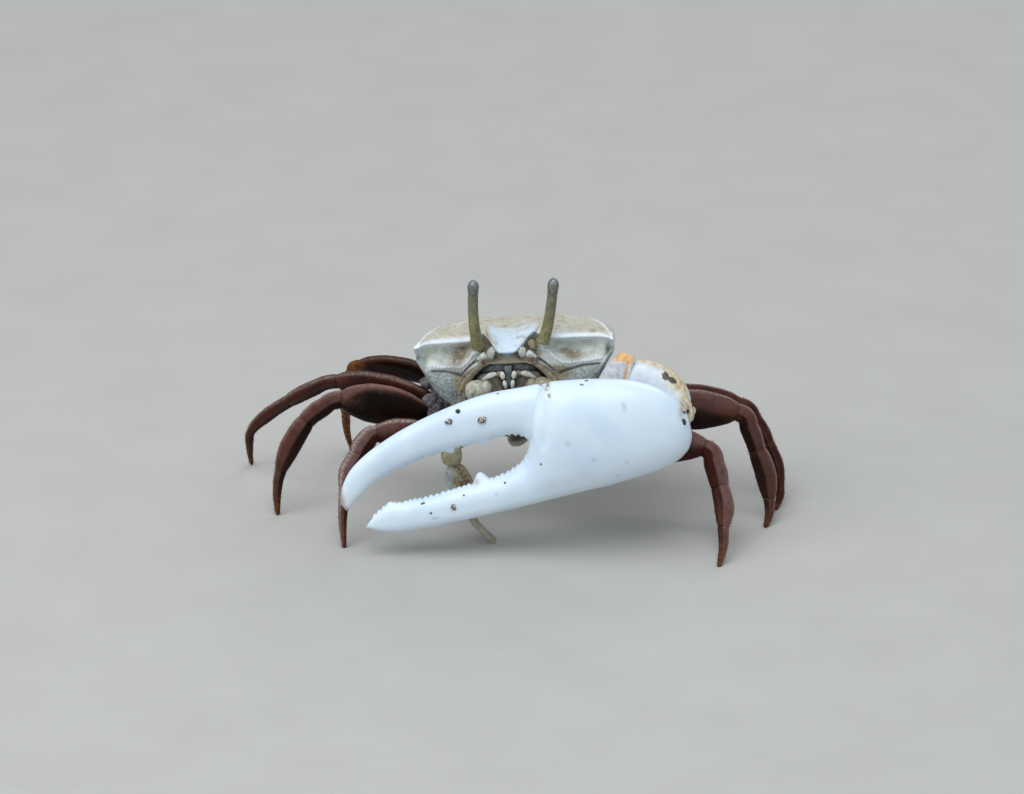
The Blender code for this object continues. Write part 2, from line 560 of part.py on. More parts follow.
def make_leg(body, name, points, breastplate):
    """The four segments of a walking leg, ending in a small flat on the floor."""
    side = 1 if "_l" in name else -1
    number = name[-1]
    merus_height, bow = MERUS_SIZE[name[-2:]]
    sizes = SEGMENT_SCALE[number]
    knee, wrist, ankle, foot = (Vector(p) for p in points)
    root, socket, _ = COXAE[f"leg_{number}"]
    hip = body @ Vector((side * socket.x, socket.y, socket.z))
    root = body @ Vector((side * root.x, root.y, root.z))
    hip_face = (hip - root).normalized()
    hip += hip_face * GAP
    knee_face = joint_plane(hip, knee, wrist)
    wrist_face = joint_plane(knee, wrist, ankle)
    ankle_face = joint_plane(wrist, ankle, foot)
    floor = Vector((0, 0, -1))
    bend = (knee - hip).cross(foot - knee).normalized()
    parent = breastplate
    rows = (("merus", hip, knee, hip_face, knee_face, MERUS_SECTIONS, merus_height, bow),
            ("carpus", knee, wrist, knee_face, wrist_face, CARPUS_SECTIONS, sizes[0], 0.3),
            ("propodus", wrist, ankle, wrist_face, ankle_face, PROPODUS_SECTIONS, sizes[1], 0.25),
            ("dactyl", ankle, foot, ankle_face, floor, DACTYL_SECTIONS, sizes[2], 0.2))
    for part, start, end, start_face, end_face, sections, scale, arch in rows:
        segment = make_segment(f"{name}_{part}", start, end, start_face, end_face, scaled(sections, scale),
                               bend, arch, steps=9 if part == "merus" else 5,
                               start_gap=0 if part == "merus" else GAP / 2,
                               end_gap=0 if part == "dactyl" else GAP / 2)
        parent = finish(segment, "leg", start, parent)


def claw_matrix():
    """Carries the great claw's own frame to its place before the face."""
    droop, lean = math.radians(CLAW_DROOP), math.radians(CLAW_LEAN)
    length = Vector((-math.cos(droop), 0, -math.sin(droop)))
    out = Vector((0, -math.cos(lean), math.sin(lean)))
    out = (out - length * out.dot(length)).normalized()
    height = length.cross(out)
    axes = Matrix((length, height, -out)).transposed().to_4x4()
    return Matrix.Translation(CLAW_HEEL) @ axes


def palm_ring(place, sides):
    """A section of the palm, fuller on its outer face."""
    top, low = smooth(PALM_TOP, place), smooth(PALM_LOW, place)
    out, within = smooth(PALM_OUT, place), smooth(PALM_IN, place)
    ring = oval(Vector((place, 0.5 * (top + low), 0)), Vector((0, 1, 0)), Vector((0, 0, 1)),
                0.5 * (top - low), 1, sides, 2.25)
    return [Vector((p.x, p.y, p.z * (out if p.z < 0 else within))) for p in ring]


def tooth(root, way, height, width):
    """A blunt tooth whose root is sunk in the edge that it grows from."""
    along_edge = Vector((-way.y, way.x, 0))
    across = Vector((0, 0, 1))
    rings = [oval(root + way * (height * rise - 0.3 * (1 - rise)), along_edge, across, 0.5 * width * wide,
                  0.32 * width * wide, 6) for rise, wide in ((0, 1.25), (0.45, 0.85), (0.95, 0.38))]
    return make("tooth", rings)


def make_great_hand(claw, cutters, parent):
    """The palm and fixed finger of the great claw as one piece, with the teeth of its cutting edge."""
    rings = [palm_ring(p, PALM_SIDES) for p in PALM_STATIONS]
    knuckle = KNUCKLE_LOW - KNUCKLE_TOP
    last = []
    for p in palm_ring(13.0, PALM_SIDES):
        drop = (KNUCKLE_TOP.y - p.y) / -knuckle.y
        last.append(Vector((KNUCKLE_TOP.x + knuckle.x * drop, p.y, p.z * 0.8)))
    palm = make("great_claw_hand", rings + [last], Vector((0, 1.1, 0)))
    finger = []
    for place in POLLEX_STATIONS:
        top, low = smooth(POLLEX_TOP, place), smooth(POLLEX_LOW, place)
        finger.append(oval(Vector((place, 0.5 * (top + low), 0)), Vector((0, 1, 0)), Vector((0, 0, 1)),
                           0.5 * (top - low), 0.5 * smooth(POLLEX_THICK, place), POLLEX_SIDES, 2.2))
    pieces = [make("pollex", finger, None, POLLEX_TIP)]
    for place, height in POLLEX_TEETH:
        root = Vector((place, smooth(POLLEX_TOP, place) - 0.1, 0))
        width = BIG_TEETH_WIDTH if height > 0.5 else SMALL_TEETH_WIDTH
        pieces.append(tooth(root, Vector((0, 1, 0)), height + 0.1, width))
    combine(palm, pieces, "UNION")
    palm.data.transform(claw)
    combine(palm, cutters, "DIFFERENCE")
    return finish(palm, "great_claw", claw @ Vector((1.5, 3.5, 0)), parent)


def finger_edges(share):
    """The moving finger's upper and lower edge points at a share of its length."""
    top = along([Vector((*p, 0)) for p in FINGER_TOP], share)
    low = along([Vector((*p, 0)) for p in FINGER_LOW], share)
    return top, low


def make_great_finger(claw, hand):
    """The moving finger of the great claw, hooked at its tip and toothed below."""
    rings = []
    steps = 17
    for k in range(steps + 1):
        share = k / steps
        top, low = finger_edges(share)
        half = 0.5 * (top - low)
        thick = smooth(FINGER_THICK, share)
        rings.append(oval(low + half, half.normalized(), Vector((0, 0, 1)), half.length, 0.5 * thick,
                          FINGER_SIDES, 2.2))
    finger = make("great_claw_finger", rings, None, FINGER_TIP)
    teeth = []
    for place, height in FINGER_TEETH:
        share = min((k / 400 for k in range(401)), key=lambda s: abs(finger_edges(s)[1].x - place))
        top, low = finger_edges(share)
        way = (low - top).normalized()
        width = BIG_TEETH_WIDTH if height > 0.5 else SMALL_TEETH_WIDTH
        teeth.append(tooth(low - way * 0.1, way, height + 0.1, width))
    combine(finger, teeth, "UNION")
    finger.data.transform(claw)
    return finish(finger, "great_claw", claw @ ((KNUCKLE_TOP + KNUCKLE_LOW) / 2), hand)


def carpus_rings(grow, sides):
    """The great claw's wrist segment, a broad dome, grown by a clearance."""
    rings = []
    steps = 8
    run_start = (GREAT_CARPUS[1] - GREAT_CARPUS[0]).normalized()
    run_end = (GREAT_CARPUS[-1] - GREAT_CARPUS[-2]).normalized()
    for k in range(steps + 1):
        share = k / steps
        here = along(GREAT_CARPUS, share)
        ahead, behind = along(GREAT_CARPUS, min(1, share + 0.02)), along(GREAT_CARPUS, max(0, share - 0.02))
        run = (ahead - behind).normalized()
        across = run.cross(Vector((0, 0, 1))).normalized()
        up = across.cross(run)
        height, thick = section(GREAT_CARPUS_SECTIONS, share)
        if k == 0:
            here = here + run_start * (GAP / 2 - grow)
        if k == steps:
            here = here + run_end * grow
        rings.append(oval(here, up, across, 0.5 * height + grow, 0.5 * thick + grow, sides, 2.1))
    return rings


def make_great_claw(body, claw, breastplate):
    """The great claw's arm and wrist, then its hand and moving finger."""
    root, socket, _ = COXAE["great"]
    root, hip = body @ root, body @ socket
    hip_face = (hip - root).normalized()
    hip += hip_face * GAP
    elbow_face = (GREAT_CARPUS[1] - GREAT_CARPUS[0]).normalized()
    merus = make_segment("great_claw_merus", hip, GREAT_CARPUS[0], hip_face, elbow_face,
                         GREAT_MERUS_SECTIONS, Vector((0, -1, 0)), sides=12, steps=10, start_gap=0)
    merus = finish(merus, "great_claw", hip, breastplate)
    carpus = finish(make("great_claw_carpus", carpus_rings(0, 14)), "great_claw", GREAT_CARPUS[0], merus)
    hand = make_great_hand(claw, [make("clearance", carpus_rings(1.3 * GAP, 14))], carpus)
    make_great_finger(claw, hand)


def make_small_claw(body, breastplate):
    """The small feeding claw, hanging to the floor behind the great one."""
    root, socket, _ = COXAE["small"]
    root = body @ Vector((-root.x, root.y, root.z))
    hip = body @ Vector((-socket.x, socket.y, socket.z))
    hip_face = (hip - root).normalized()
    hip += hip_face * GAP
    elbow_face = joint_plane(hip, SMALL_ELBOW, SMALL_WRIST)
    wrist_face = joint_plane(SMALL_ELBOW, SMALL_WRIST, SMALL_KNUCKLE)
    away = Vector((0, -1, 0))
    merus = make_segment("small_claw_merus", hip, SMALL_ELBOW, hip_face, elbow_face,
                         SMALL_MERUS_SECTIONS, away, sides=8, steps=4, start_gap=0)
    merus = finish(merus, "small_claw", hip, breastplate)
    carpus = make_segment("small_claw_carpus", SMALL_ELBOW, SMALL_WRIST, elbow_face, wrist_face,
                          SMALL_CARPUS_SECTIONS, away, sides=8, steps=3)
    carpus = finish(carpus, "small_claw", SMALL_ELBOW, merus)
    run = (SMALL_KNUCKLE - SMALL_WRIST).normalized()
    hand = make_segment("small_claw_hand", SMALL_WRIST, SMALL_KNUCKLE, wrist_face, run,
                        SMALL_HAND_SECTIONS, away, sides=10, steps=6, end_gap=0)
    tip_run = (SMALL_TIP - SMALL_KNUCKLE).normalized()
    back = Vector((0, 1, 0))
    back = (back - tip_run * back.dot(tip_run)).normalized()
    fingers = []
    roots = ((back * -0.45, SMALL_KNUCKLE - run * 0.8), (back * 0.55, SMALL_KNUCKLE + run * GAP))
    for shift, first in roots:
        rings = []
        for share, thick in ((0, 1.0), (0.3, 0.85), (0.7, 0.65), (1, 0.55)):
            centre = (first + shift).lerp(SMALL_TIP + shift, share)
            ring = oval(centre, back, tip_run.cross(back), 0.36 * thick + 0.05, 0.5 * thick, 8)
            if share == 1:
                ring = [p - tip_run * (p.z / tip_run.z) for p in ring]
            rings.append(ring)
        fingers.append(make("finger", rings))
    combine(hand, fingers[:1], "UNION")
    hand = finish(hand, "small_claw", SMALL_WRIST, carpus)
    fingers[1].name = "small_claw_finger"
    finish(fingers[1], "small_claw", SMALL_KNUCKLE, hand)


for old in list(bpy.data.objects):
    bpy.data.objects.remove(old)
MATERIALS = make_materials()
BODY = body_matrix()
CARAPACE = make_carapace(BODY)
BREASTPLATE = make_breastplate(BODY, CARAPACE)
make_tail(BODY, CARAPACE)
for SIDE in (-1, 1):
    make_mouthpart(BODY, SIDE, CARAPACE)
    make_eyestalk(SIDE, CARAPACE)
    make_feeler(BODY, SIDE, CARAPACE)
make_great_claw(BODY, claw_matrix(), BREASTPLATE)
make_small_claw(BODY, BREASTPLATE)
for NAME, POINTS in LEGS.items():
    make_leg(BODY, NAME, POINTS, BREASTPLATE)
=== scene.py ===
# Fiddler crab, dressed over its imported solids. Sizes are in millimetres until a mesh is made.
# +X is the crab's left, where the great claw is, -Y is the way it faces, +Z is up.
import math
import random

import bmesh
import bpy
import numpy as np
from mathutils import Matrix, Vector, noise


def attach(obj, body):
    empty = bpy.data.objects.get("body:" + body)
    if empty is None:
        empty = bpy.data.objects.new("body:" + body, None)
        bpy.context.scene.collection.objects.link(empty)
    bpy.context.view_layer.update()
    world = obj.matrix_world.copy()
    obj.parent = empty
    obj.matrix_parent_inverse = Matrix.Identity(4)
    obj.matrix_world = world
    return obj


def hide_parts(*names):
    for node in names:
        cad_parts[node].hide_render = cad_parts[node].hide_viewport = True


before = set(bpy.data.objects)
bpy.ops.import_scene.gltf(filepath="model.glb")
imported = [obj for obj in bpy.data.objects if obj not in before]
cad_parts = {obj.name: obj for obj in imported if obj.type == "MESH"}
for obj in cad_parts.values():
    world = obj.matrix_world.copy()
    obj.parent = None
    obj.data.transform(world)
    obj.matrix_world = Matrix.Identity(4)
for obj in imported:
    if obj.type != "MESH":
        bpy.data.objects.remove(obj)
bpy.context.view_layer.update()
mm = 0.001
right, upward = np.eye(3)[::2]


def steady(points, at):
    # smooth line through (place, value) points that never overshoots
    xs, ys = np.array(points, float).T
    steps = np.diff(ys) / np.diff(xs)
    slopes = np.concatenate([steps[:1], np.zeros(len(xs) - 2), steps[-1:]])
    for k in range(1, len(xs) - 1):
        if steps[k - 1] * steps[k] > 0:
            slopes[k] = 2 * steps[k - 1] * steps[k] / (steps[k - 1] + steps[k])
    at = np.clip(np.asarray(at, float), xs[0], xs[-1])
    i = np.clip(np.searchsorted(xs, at, side="right") - 1, 0, len(xs) - 2)
    width = xs[i + 1] - xs[i]
    t = (at - xs[i]) / width
    return (ys[i] * (2 * t ** 3 - 3 * t ** 2 + 1) + ys[i + 1] * (3 * t ** 2 - 2 * t ** 3)
            + width * (slopes[i] * (t ** 3 - 2 * t ** 2 + t) + slopes[i + 1] * (t ** 3 - t ** 2)))


def curve(points, shares):
    # smooth curve through points, read at shares of its way. Works on a stack of point rows too
    p = np.asarray(points, float)
    p = np.concatenate([2 * p[..., :1, :] - p[..., 1:2, :], p, 2 * p[..., -1:, :] - p[..., -2:-1, :]], -2)
    at = np.clip(np.asarray(shares, float), 0, 1) * (p.shape[-2] - 3)
    i = np.minimum(at.astype(int), p.shape[-2] - 4)
    t = (at - i)[:, None]
    a, b, c, d = (p[..., i + k, :] for k in range(4))
    return 0.5 * (2 * b + (c - a) * t + (2 * a - 5 * b + 4 * c - d) * t ** 2
                  + (3 * b - a - 3 * c + d) * t ** 3)


def unit(v):
    v = np.asarray(v, float)
    return v / np.maximum(np.linalg.norm(v, axis=-1, keepdims=True), 1e-9)


def ease(low, high, value):
    # 0 below low, 1 above high, smooth between
    t = np.clip((np.asarray(value, float) - low) / (high - low), 0, 1)
    return t * t * (3 - 2 * t)


def hill(value, width):
    return np.exp(-(np.asarray(value, float) / width) ** 2)


def grain(points, size, seed=0.0):
    # smooth noise from -1 to 1 with bumps of about that size
    flat = np.asarray(points, float).reshape(-1, 3) / size + seed
    return np.array([noise.noise(Vector(p)) for p in flat]).reshape(np.shape(points)[:-1])


def carry(matrix, points):
    m = np.array(matrix)
    return np.asarray(points, float) @ m[:3, :3].T + m[:3, 3]


def xyz(rows):
    return rows[..., 0], rows[..., 1], rows[..., 2]


def wrapped(angle):
    # the same angle between minus and plus half a turn
    return np.angle(np.exp(1j * angle))


def largest(*values):
    return np.maximum.reduce(values)


def held(value):
    # cut off below 0 and above 1
    return np.clip(value, 0, 1)


def closing(distance, reach, least):
    # 1 away from an end, falling in a quarter circle to the end itself
    return np.sqrt(np.clip(1 - held(1 - distance / reach) ** 2, least, 1))


def bunched(steps, pull):
    # shares from 0 to 1 that lie closer together at both ends
    t = np.linspace(0, 1, steps + 1)
    return t - pull * np.sin(2 * math.pi * t) / (2 * math.pi)


def sampled(shares, places, ways):
    # directions known at places, read at shares
    return unit(np.stack([np.interp(shares, places, ways[:, k]) for k in range(3)], 1))


def halves(sizes, shares):
    # half height and half thickness at each share, from rows of (share, height, thickness)
    return [steady([(s[0], s[k]) for s in sizes], shares) / 2 for k in (1, 2)]


def stroke(u, v, path, width):
    # 1 along a drawn line of (u, v) points, falling to 0 beside it
    best = np.full(np.shape(u), 1e9)
    for (u0, v0), (u1, v1) in zip(path, path[1:]):
        du, dv = u1 - u0, v1 - v0
        t = np.clip(((u - u0) * du + (v - v0) * dv) / (du * du + dv * dv), 0, 1)
        best = np.minimum(best, np.hypot(u - u0 - t * du, v - v0 - t * dv))
    return hill(best, width)


def spot(u, v, centre, size, turn=0.0):
    # 1 at the middle of an oval patch, falling to 0 at its edge
    c, s = math.cos(math.radians(turn)), math.sin(math.radians(turn))
    du, dv = u - centre[0], v - centre[1]
    return hill(np.hypot((du * c + dv * s) / size[0], (dv * c - du * s) / size[1]), 1.0)


def normals(rows):
    return unit(np.cross(np.gradient(rows, axis=0), np.roll(rows, -1, 1) - np.roll(rows, 1, 1)))


def pushed(rows, amount):
    # moves a closed grid of points along its own outward normals
    normal = normals(rows)
    if (normal * (rows - rows.mean(1, keepdims=True))).sum() < 0:
        normal = -normal
    return rows + normal * np.asarray(amount)[..., None]


def skinned(rows, endTip=None):
    # vertices and faces of a closed grid, each end closed round a middle point
    n, m = rows.shape[:2]
    tips = [rows[0].mean(0), rows[-1].mean(0) if endTip is None else endTip]
    verts = np.concatenate([rows.reshape(-1, 3), tips])
    k = np.arange(m)
    nxt = (k + 1) % m
    quads = [np.stack([r * m + k, r * m + nxt, (r + 1) * m + nxt, (r + 1) * m + k], 1) for r in range(n - 1)]
    faces = np.concatenate(quads).tolist()
    faces += [(int(b), int(a), n * m) for a, b in zip(k, nxt)]
    faces += [(int((n - 1) * m + a), int((n - 1) * m + b), n * m + 1) for a, b in zip(k, nxt)]
    return verts, faces


class Shape:
    # gathers closed surfaces and their masks, and turns them into one mesh object
    def __init__(self, name):
        self.name, self.verts, self.faces, self.masks = name, [], [], {}
        self.count = 0

    def add(self, rows, endTip=None, **masks):
        verts, faces = skinned(rows, endTip)
        self.faces += [tuple(i + self.count for i in face) for face in faces]
        for key in set(masks) | set(self.masks):
            value = masks.get(key, 0.0)
            if np.ndim(value):
                value = np.asarray(value, float)
                flat = np.concatenate([value.reshape(-1), [value[0].mean(), value[-1].mean()]])
            else:
                flat = np.full(len(verts), float(value))
            self.masks.setdefault(key, [np.zeros(self.count)]).append(flat)
        self.verts.append(verts)
        self.count += len(verts)
        return self

    def build(self, finish, slot, *nodes):
        mesh = bpy.data.meshes.new(self.name)
        mesh.from_pydata((np.concatenate(self.verts) * mm).tolist(), [], self.faces)
        mesh.validate()
        for key, parts in self.masks.items():
            layer = mesh.attributes.new(key, "FLOAT", "POINT")
            layer.data.foreach_set("value", np.concatenate(parts).astype(np.float32))
        mesh.shade_smooth()
        piece = bpy.data.objects.new(self.name, mesh)
        bpy.context.scene.collection.objects.link(piece)
        turnOutward(piece)
        mesh.materials.append(finish)
        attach(piece, "root")
        if nodes:
            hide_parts(*nodes)
        return piece


def turnOutward(piece):
    bm = bmesh.new()
    bm.from_mesh(piece.data)
    bmesh.ops.recalc_face_normals(bm, faces=bm.faces)
    bm.to_mesh(piece.data)
    bm.free()


def tube(path, sizes, sideWay=None, steps=24, sides=24, square=2.1, startRound=0.12, endRound=0.12):
    # a limb-like form along a path. sizes are (share, height, thickness); returns rows, shares and angles
    shares = bunched(steps, 0.8)
    fine = np.linspace(0, 1, 201)
    run = sampled(shares, fine, np.gradient(curve(path, fine), axis=0))
    if sideWay is None:
        side = unit(np.cross(run, upward))
        up = unit(np.cross(side, run))
    else:
        side = unit(np.asarray(sideWay, float) - run * (run @ sideWay)[:, None])
        up = unit(np.cross(run, side))
    high, wide = halves(sizes, shares)
    ends = np.ones(len(shares))
    if startRound:
        ends *= closing(shares, startRound, 0.0004)
    if endRound:
        ends *= closing(1 - shares, endRound, 0.0004)
    return ringed(curve(path, shares), up, side, high * ends, wide * ends, sides, square, shares)


def ovalRing(sides, square):
    # angles round a ring, and its squared-off cosines and sines
    angle = 2 * math.pi * np.arange(sides) / sides
    c, s = np.cos(angle), np.sin(angle)
    return angle, np.sign(c) * abs(c) ** (2 / square), np.sign(s) * abs(s) ** (2 / square)


def ringed(centre, up, side, high, wide, sides, square, shares):
    # oval rings round a row of centres, with each point's share of the way and its angle from the top
    angle, c, s = ovalRing(sides, square)
    rows = (centre[:, None] + up[:, None] * high[:, None, None] * c[None, :, None]
            + side[:, None] * wide[:, None, None] * s[None, :, None])
    return rows, shares[:, None] + 0 * c[None], angle[None] + 0 * shares[:, None]


def softened(rows, share, rounds):
    # eases sharp folds of a grid where share is above 0
    for _ in range(rounds):
        near = (np.roll(rows, 1, 1) + np.roll(rows, -1, 1)
                + np.concatenate([rows[:1], rows[:-1]]) + np.concatenate([rows[1:], rows[-1:]])) / 4
        rows = rows + (near - rows) * share[..., None]
    return rows


class Finish:
    # a material built up from masks, noise and bumps, all placed in the crab's own space
    def __init__(self, name, colour, rough, coat=0.0, coatRough=0.2, seep=0.0, specular=0.5):
        self.material = bpy.data.materials.new(name)
        self.material.use_nodes = True
        self.tree = self.material.node_tree
        self.shader = self.tree.nodes["Principled BSDF"]
        fixed = {"Coat Weight": coat, "Coat Roughness": coatRough, "Specular IOR Level": specular,
                 "Subsurface Weight": seep, "Subsurface Radius": (1.0, 0.8, 0.6),
                 "Subsurface Scale": 0.4 * mm}
        for socket, value in fixed.items():
            self.shader.inputs[socket].default_value = value
        self.where = self.node("TexCoord", {}, "Object")
        self.colour = self.mix(1.0, colour, colour)
        self.rough = self.sum(0.0, rough)
        self.normal = None

    def node(self, kind, inputs, output, **options):
        # a node with these options and input values or links; gives back the output asked for
        node = self.tree.nodes.new("ShaderNode" + kind)
        for option, value in options.items():
            setattr(node, option, value)
        for socket, value in inputs.items():
            if isinstance(value, bpy.types.NodeSocket):
                self.tree.links.new(value, node.inputs[socket])
            else:
                node.inputs[socket].default_value = (*value, 1) if isinstance(value, tuple) else value
        return node.outputs[output]

    def mix(self, share, a, b):
        return self.node("Mix", {"Factor": share, 6: a, 7: b}, 2, data_type="RGBA")

    def sum(self, a, b, way="ADD"):
        return self.node("Math", {0: a, 1: b}, 0, operation=way)

    def times(self, a, b):
        return self.sum(a, b, "MULTIPLY")

    def mask(self, name):
        return self.node("Attribute", {}, "Fac", attribute_name=name)

    def fog(self, size, detail=3.0, harsh=0.55, warp=0.0):
        return self.node("TexNoise", {"Vector": self.where, "Scale": 1 / (size * mm), "Detail": detail,
                                      "Roughness": harsh, "Distortion": warp}, "Fac")

    def cells(self, size, loose=1.0):
        inputs = {"Vector": self.where, "Scale": 1 / (size * mm), "Randomness": loose}
        return self.node("TexVoronoi", inputs, "Distance")

    def limit(self, value, low, high, start=0.0, end=1.0):
        # goes smoothly from start to end while the value goes from low to high
        inputs = {"Value": value, "From Min": low, "From Max": high, "To Min": start, "To Max": end}
        return self.node("MapRange", inputs, "Result", interpolation_type="SMOOTHSTEP")

    def cloud(self, size, detail, low, high, start=0.0, end=1.0, harsh=0.55, warp=0.0):
        return self.limit(self.fog(size, detail, harsh, warp), low, high, start, end)

    def paint(self, share, colour):
        self.colour = self.mix(share, self.colour, colour)

    def tint(self, mask, first, second, size, detail=4, low=0.4, high=0.6, **more):
        # under a mask, two colours mixed by noise of that size
        self.paint(self.mask(mask), self.mix(self.cloud(size, detail, low, high, **more), first, second))

    def veil(self, share, colour, *cloud, **more):
        # one colour broken up by noise; share is a mask's name or a number
        share = self.mask(share) if isinstance(share, str) else share
        self.paint(self.times(share, self.cloud(*cloud, **more)), colour)

    def dull(self, share):
        self.rough = self.sum(self.rough, share)

    def bump(self, height, depth):
        inputs = {"Strength": 1.0, "Distance": depth * mm, "Height": height}
        if self.normal is not None:
            inputs["Normal"] = self.normal
        self.normal = self.node("Bump", inputs, "Normal")

    def grains(self, size, edge, share, depth):
        # raised grains of that size
        self.bump(self.times(self.limit(self.cells(size), 0.0, edge, 1.0, 0.0), share), depth)

    def done(self):
        self.tree.links.new(self.colour, self.shader.inputs["Base Color"])
        self.tree.links.new(self.rough, self.shader.inputs["Roughness"])
        if self.normal is not None:
            self.tree.links.new(self.normal, self.shader.inputs["Normal"])
        return self.material


def shellFinish():
    f = Finish("crabShell", (0.5, 0.47, 0.37), 0.5, coat=0.08, seep=0.08)
    f.paint(f.cloud(2.2, 4, 0.42, 0.68), (0.58, 0.58, 0.52))
    f.veil(0.6, (0.52, 0.44, 0.37), 1.6, 3, 0.5, 0.66, harsh=0.6, warp=0.4)
    f.veil(0.75, (0.33, 0.26, 0.17), 0.8, 5, 0.5, 0.66, harsh=0.65, warp=1.6)
    f.tint("pearl", (0.78, 0.82, 0.77), (0.62, 0.62, 0.53), 0.8, 5, 0.42, 0.64)
    f.tint("grey", (0.17, 0.21, 0.225), (0.31, 0.37, 0.39), 0.3, 4, 0.4, 0.62)
    f.tint("white", (0.82, 0.9, 0.97), (0.74, 0.8, 0.85), 0.7, 3, 0.35, 0.6)
    f.tint("frost", (0.63, 0.75, 0.87), (0.54, 0.63, 0.72), 0.9, 4, 0.42, 0.68)
    f.tint("tan", (0.25, 0.18, 0.1), (0.4, 0.31, 0.2), 0.3, 5)
    f.veil("brown", (0.2, 0.135, 0.055), 0.4, 5, 0.24, 0.5, harsh=0.6)
    # the dark mask is mostly painted shade in hollows, creases and on the underside
    f.paint(f.mask("dark"), (0.03, 0.026, 0.023))
    f.dull(f.cloud(0.5, 4, 0.3, 0.7, -0.06, 0.12))
    f.bump(f.fog(0.12, 3), 0.02)
    f.grains(0.22, 0.6, f.sum(f.mask("grainy"), 0.15), 0.05)
    return f.done()


def porcelainFinish():
    f = Finish("porcelain", (0.745, 0.87, 1.0), 0.36, coat=0.2, coatRough=0.22, seep=0.1, specular=0.4)
    f.paint(f.cloud(6.0, 2, 0.45, 0.7), (0.68, 0.81, 0.97))
    f.veil(0.3, (0.64, 0.73, 0.84), 1.1, 4, 0.6, 0.8)
    f.tint("frosted", (0.7, 0.74, 0.78), (0.62, 0.64, 0.66), 0.6, 4, 0.4, 0.65)
    f.tint("cream", (0.7, 0.62, 0.42), (0.52, 0.38, 0.19), 0.4, 5, 0.4, 0.65)
    f.paint(f.times(f.mask("smudge"), 0.7), (0.45, 0.53, 0.58))
    f.tint("stain", (0.46, 0.3, 0.15), (0.26, 0.15, 0.07), 0.25)
    f.tint("mauve", (0.5, 0.52, 0.58), (0.66, 0.68, 0.72), 0.4)
    f.tint("orange", (0.8, 0.38, 0.1), (0.74, 0.55, 0.3), 0.3)
    f.tint("dirt", (0.1, 0.08, 0.05), (0.05, 0.04, 0.03), 0.16)
    f.paint(f.mask("dark"), (0.04, 0.033, 0.027))
    f.dull(f.cloud(0.6, 4, 0.35, 0.75, -0.05, 0.12))
    f.bump(f.fog(0.35, 4), 0.012)
    f.grains(0.16, 0.5, f.mask("grainy"), 0.03)
    return f.done()


def legFinish():
    f = Finish("legShell", (0.055, 0.008, 0.0035), 0.4, coat=0.05, coatRough=0.3, specular=0.13)
    f.paint(f.cloud(1.6, 4, 0.42, 0.66), (0.026, 0.005, 0.003))
    f.veil("mauve", (0.155, 0.078, 0.07), 0.9, 4, 0.3, 0.6, 0.5, 1.0)
    f.veil("olive", (0.1, 0.07, 0.036), 0.6, 4, 0.3, 0.6, 0.45, 1.0)
    f.paint(f.mask("black"), (0.006, 0.0015, 0.001))
    # painted highlight: pink along each part's crest and on the knee
    f.veil("blush", (0.19, 0.088, 0.066), 0.35, 4, 0.35, 0.6, 0.4, 1.0)
    f.tint("slate", (0.15, 0.15, 0.19), (0.055, 0.05, 0.062), 0.5, 5, 0.42, 0.6)
    # pale beads along the crest, widened into a painted highlight on the short parts
    f.veil("pale", (0.4, 0.34, 0.31), 0.2, 3, 0.38, 0.58, 0.2, 1.0)
    f.tint("amber", (0.19, 0.07, 0.018), (0.09, 0.03, 0.008), 0.4)
    f.veil(0.35, (0.34, 0.26, 0.23), 0.13, 2, 0.68, 0.78)
    f.dull(f.cloud(0.4, 4, 0.35, 0.7, -0.06, 0.16))
    f.bump(f.fog(0.18, 4), 0.03)
    f.grains(0.18, 0.55, f.sum(f.mask("pale"), 0.2), 0.04)
    return f.done()


def smallClawFinish():
    f = Finish("smallClawShell", (0.4, 0.34, 0.19), 0.5, coat=0.08, seep=0.05)
    f.paint(f.cloud(0.6, 4, 0.4, 0.6), (0.54, 0.5, 0.34))
    f.tint("brown", (0.12, 0.07, 0.04), (0.36, 0.28, 0.18), 0.3, 5, 0.42, 0.56, harsh=0.65, warp=0.8)
    f.tint("white", (0.55, 0.6, 0.6), (0.42, 0.42, 0.37), 0.4, 3)
    f.dull(f.cloud(0.3, 4, 0.35, 0.7, -0.05, 0.15))
    f.bump(f.fog(0.15, 4), 0.03)
    return f.done()


def stalkFinish():
    f = Finish("eyestalkSkin", (0.175, 0.16, 0.065), 0.45, coat=0.1, specular=0.35)
    f.paint(f.cloud(0.5, 4, 0.42, 0.62), (0.26, 0.235, 0.105))
    f.veil(0.7, (0.09, 0.085, 0.045), 0.16, 4, 0.52, 0.68)
    f.tint("grey", (0.115, 0.115, 0.085), (0.19, 0.19, 0.14), 0.2)
    # the dark mask here is the painted shadow at the stalk's base
    f.paint(f.mask("dark"), (0.04, 0.035, 0.02))
    f.paint(f.mask("beige"), (0.3, 0.27, 0.18))
    f.bump(f.fog(0.12, 3), 0.025)
    return f.done()


def eyeFinish():
    f = Finish("eyeCornea", (0.13, 0.135, 0.12), 0.22, coat=0.35, coatRough=0.1, specular=0.4)
    f.paint(f.cloud(0.3, 4, 0.42, 0.62), (0.19, 0.2, 0.19))
    # painted highlight on the eye's top
    f.tint("tip", (0.26, 0.29, 0.35), (0.17, 0.18, 0.21), 0.16, 3)
    f.tint("skin", (0.115, 0.115, 0.09), (0.19, 0.19, 0.14), 0.2)
    f.paint(f.mask("ring"), (0.04, 0.038, 0.036))
    f.veil(0.35, (0.07, 0.07, 0.06), 0.12, 3, 0.52, 0.68)
    f.bump(f.cells(0.05, 0.25), 0.006)
    return f.done()


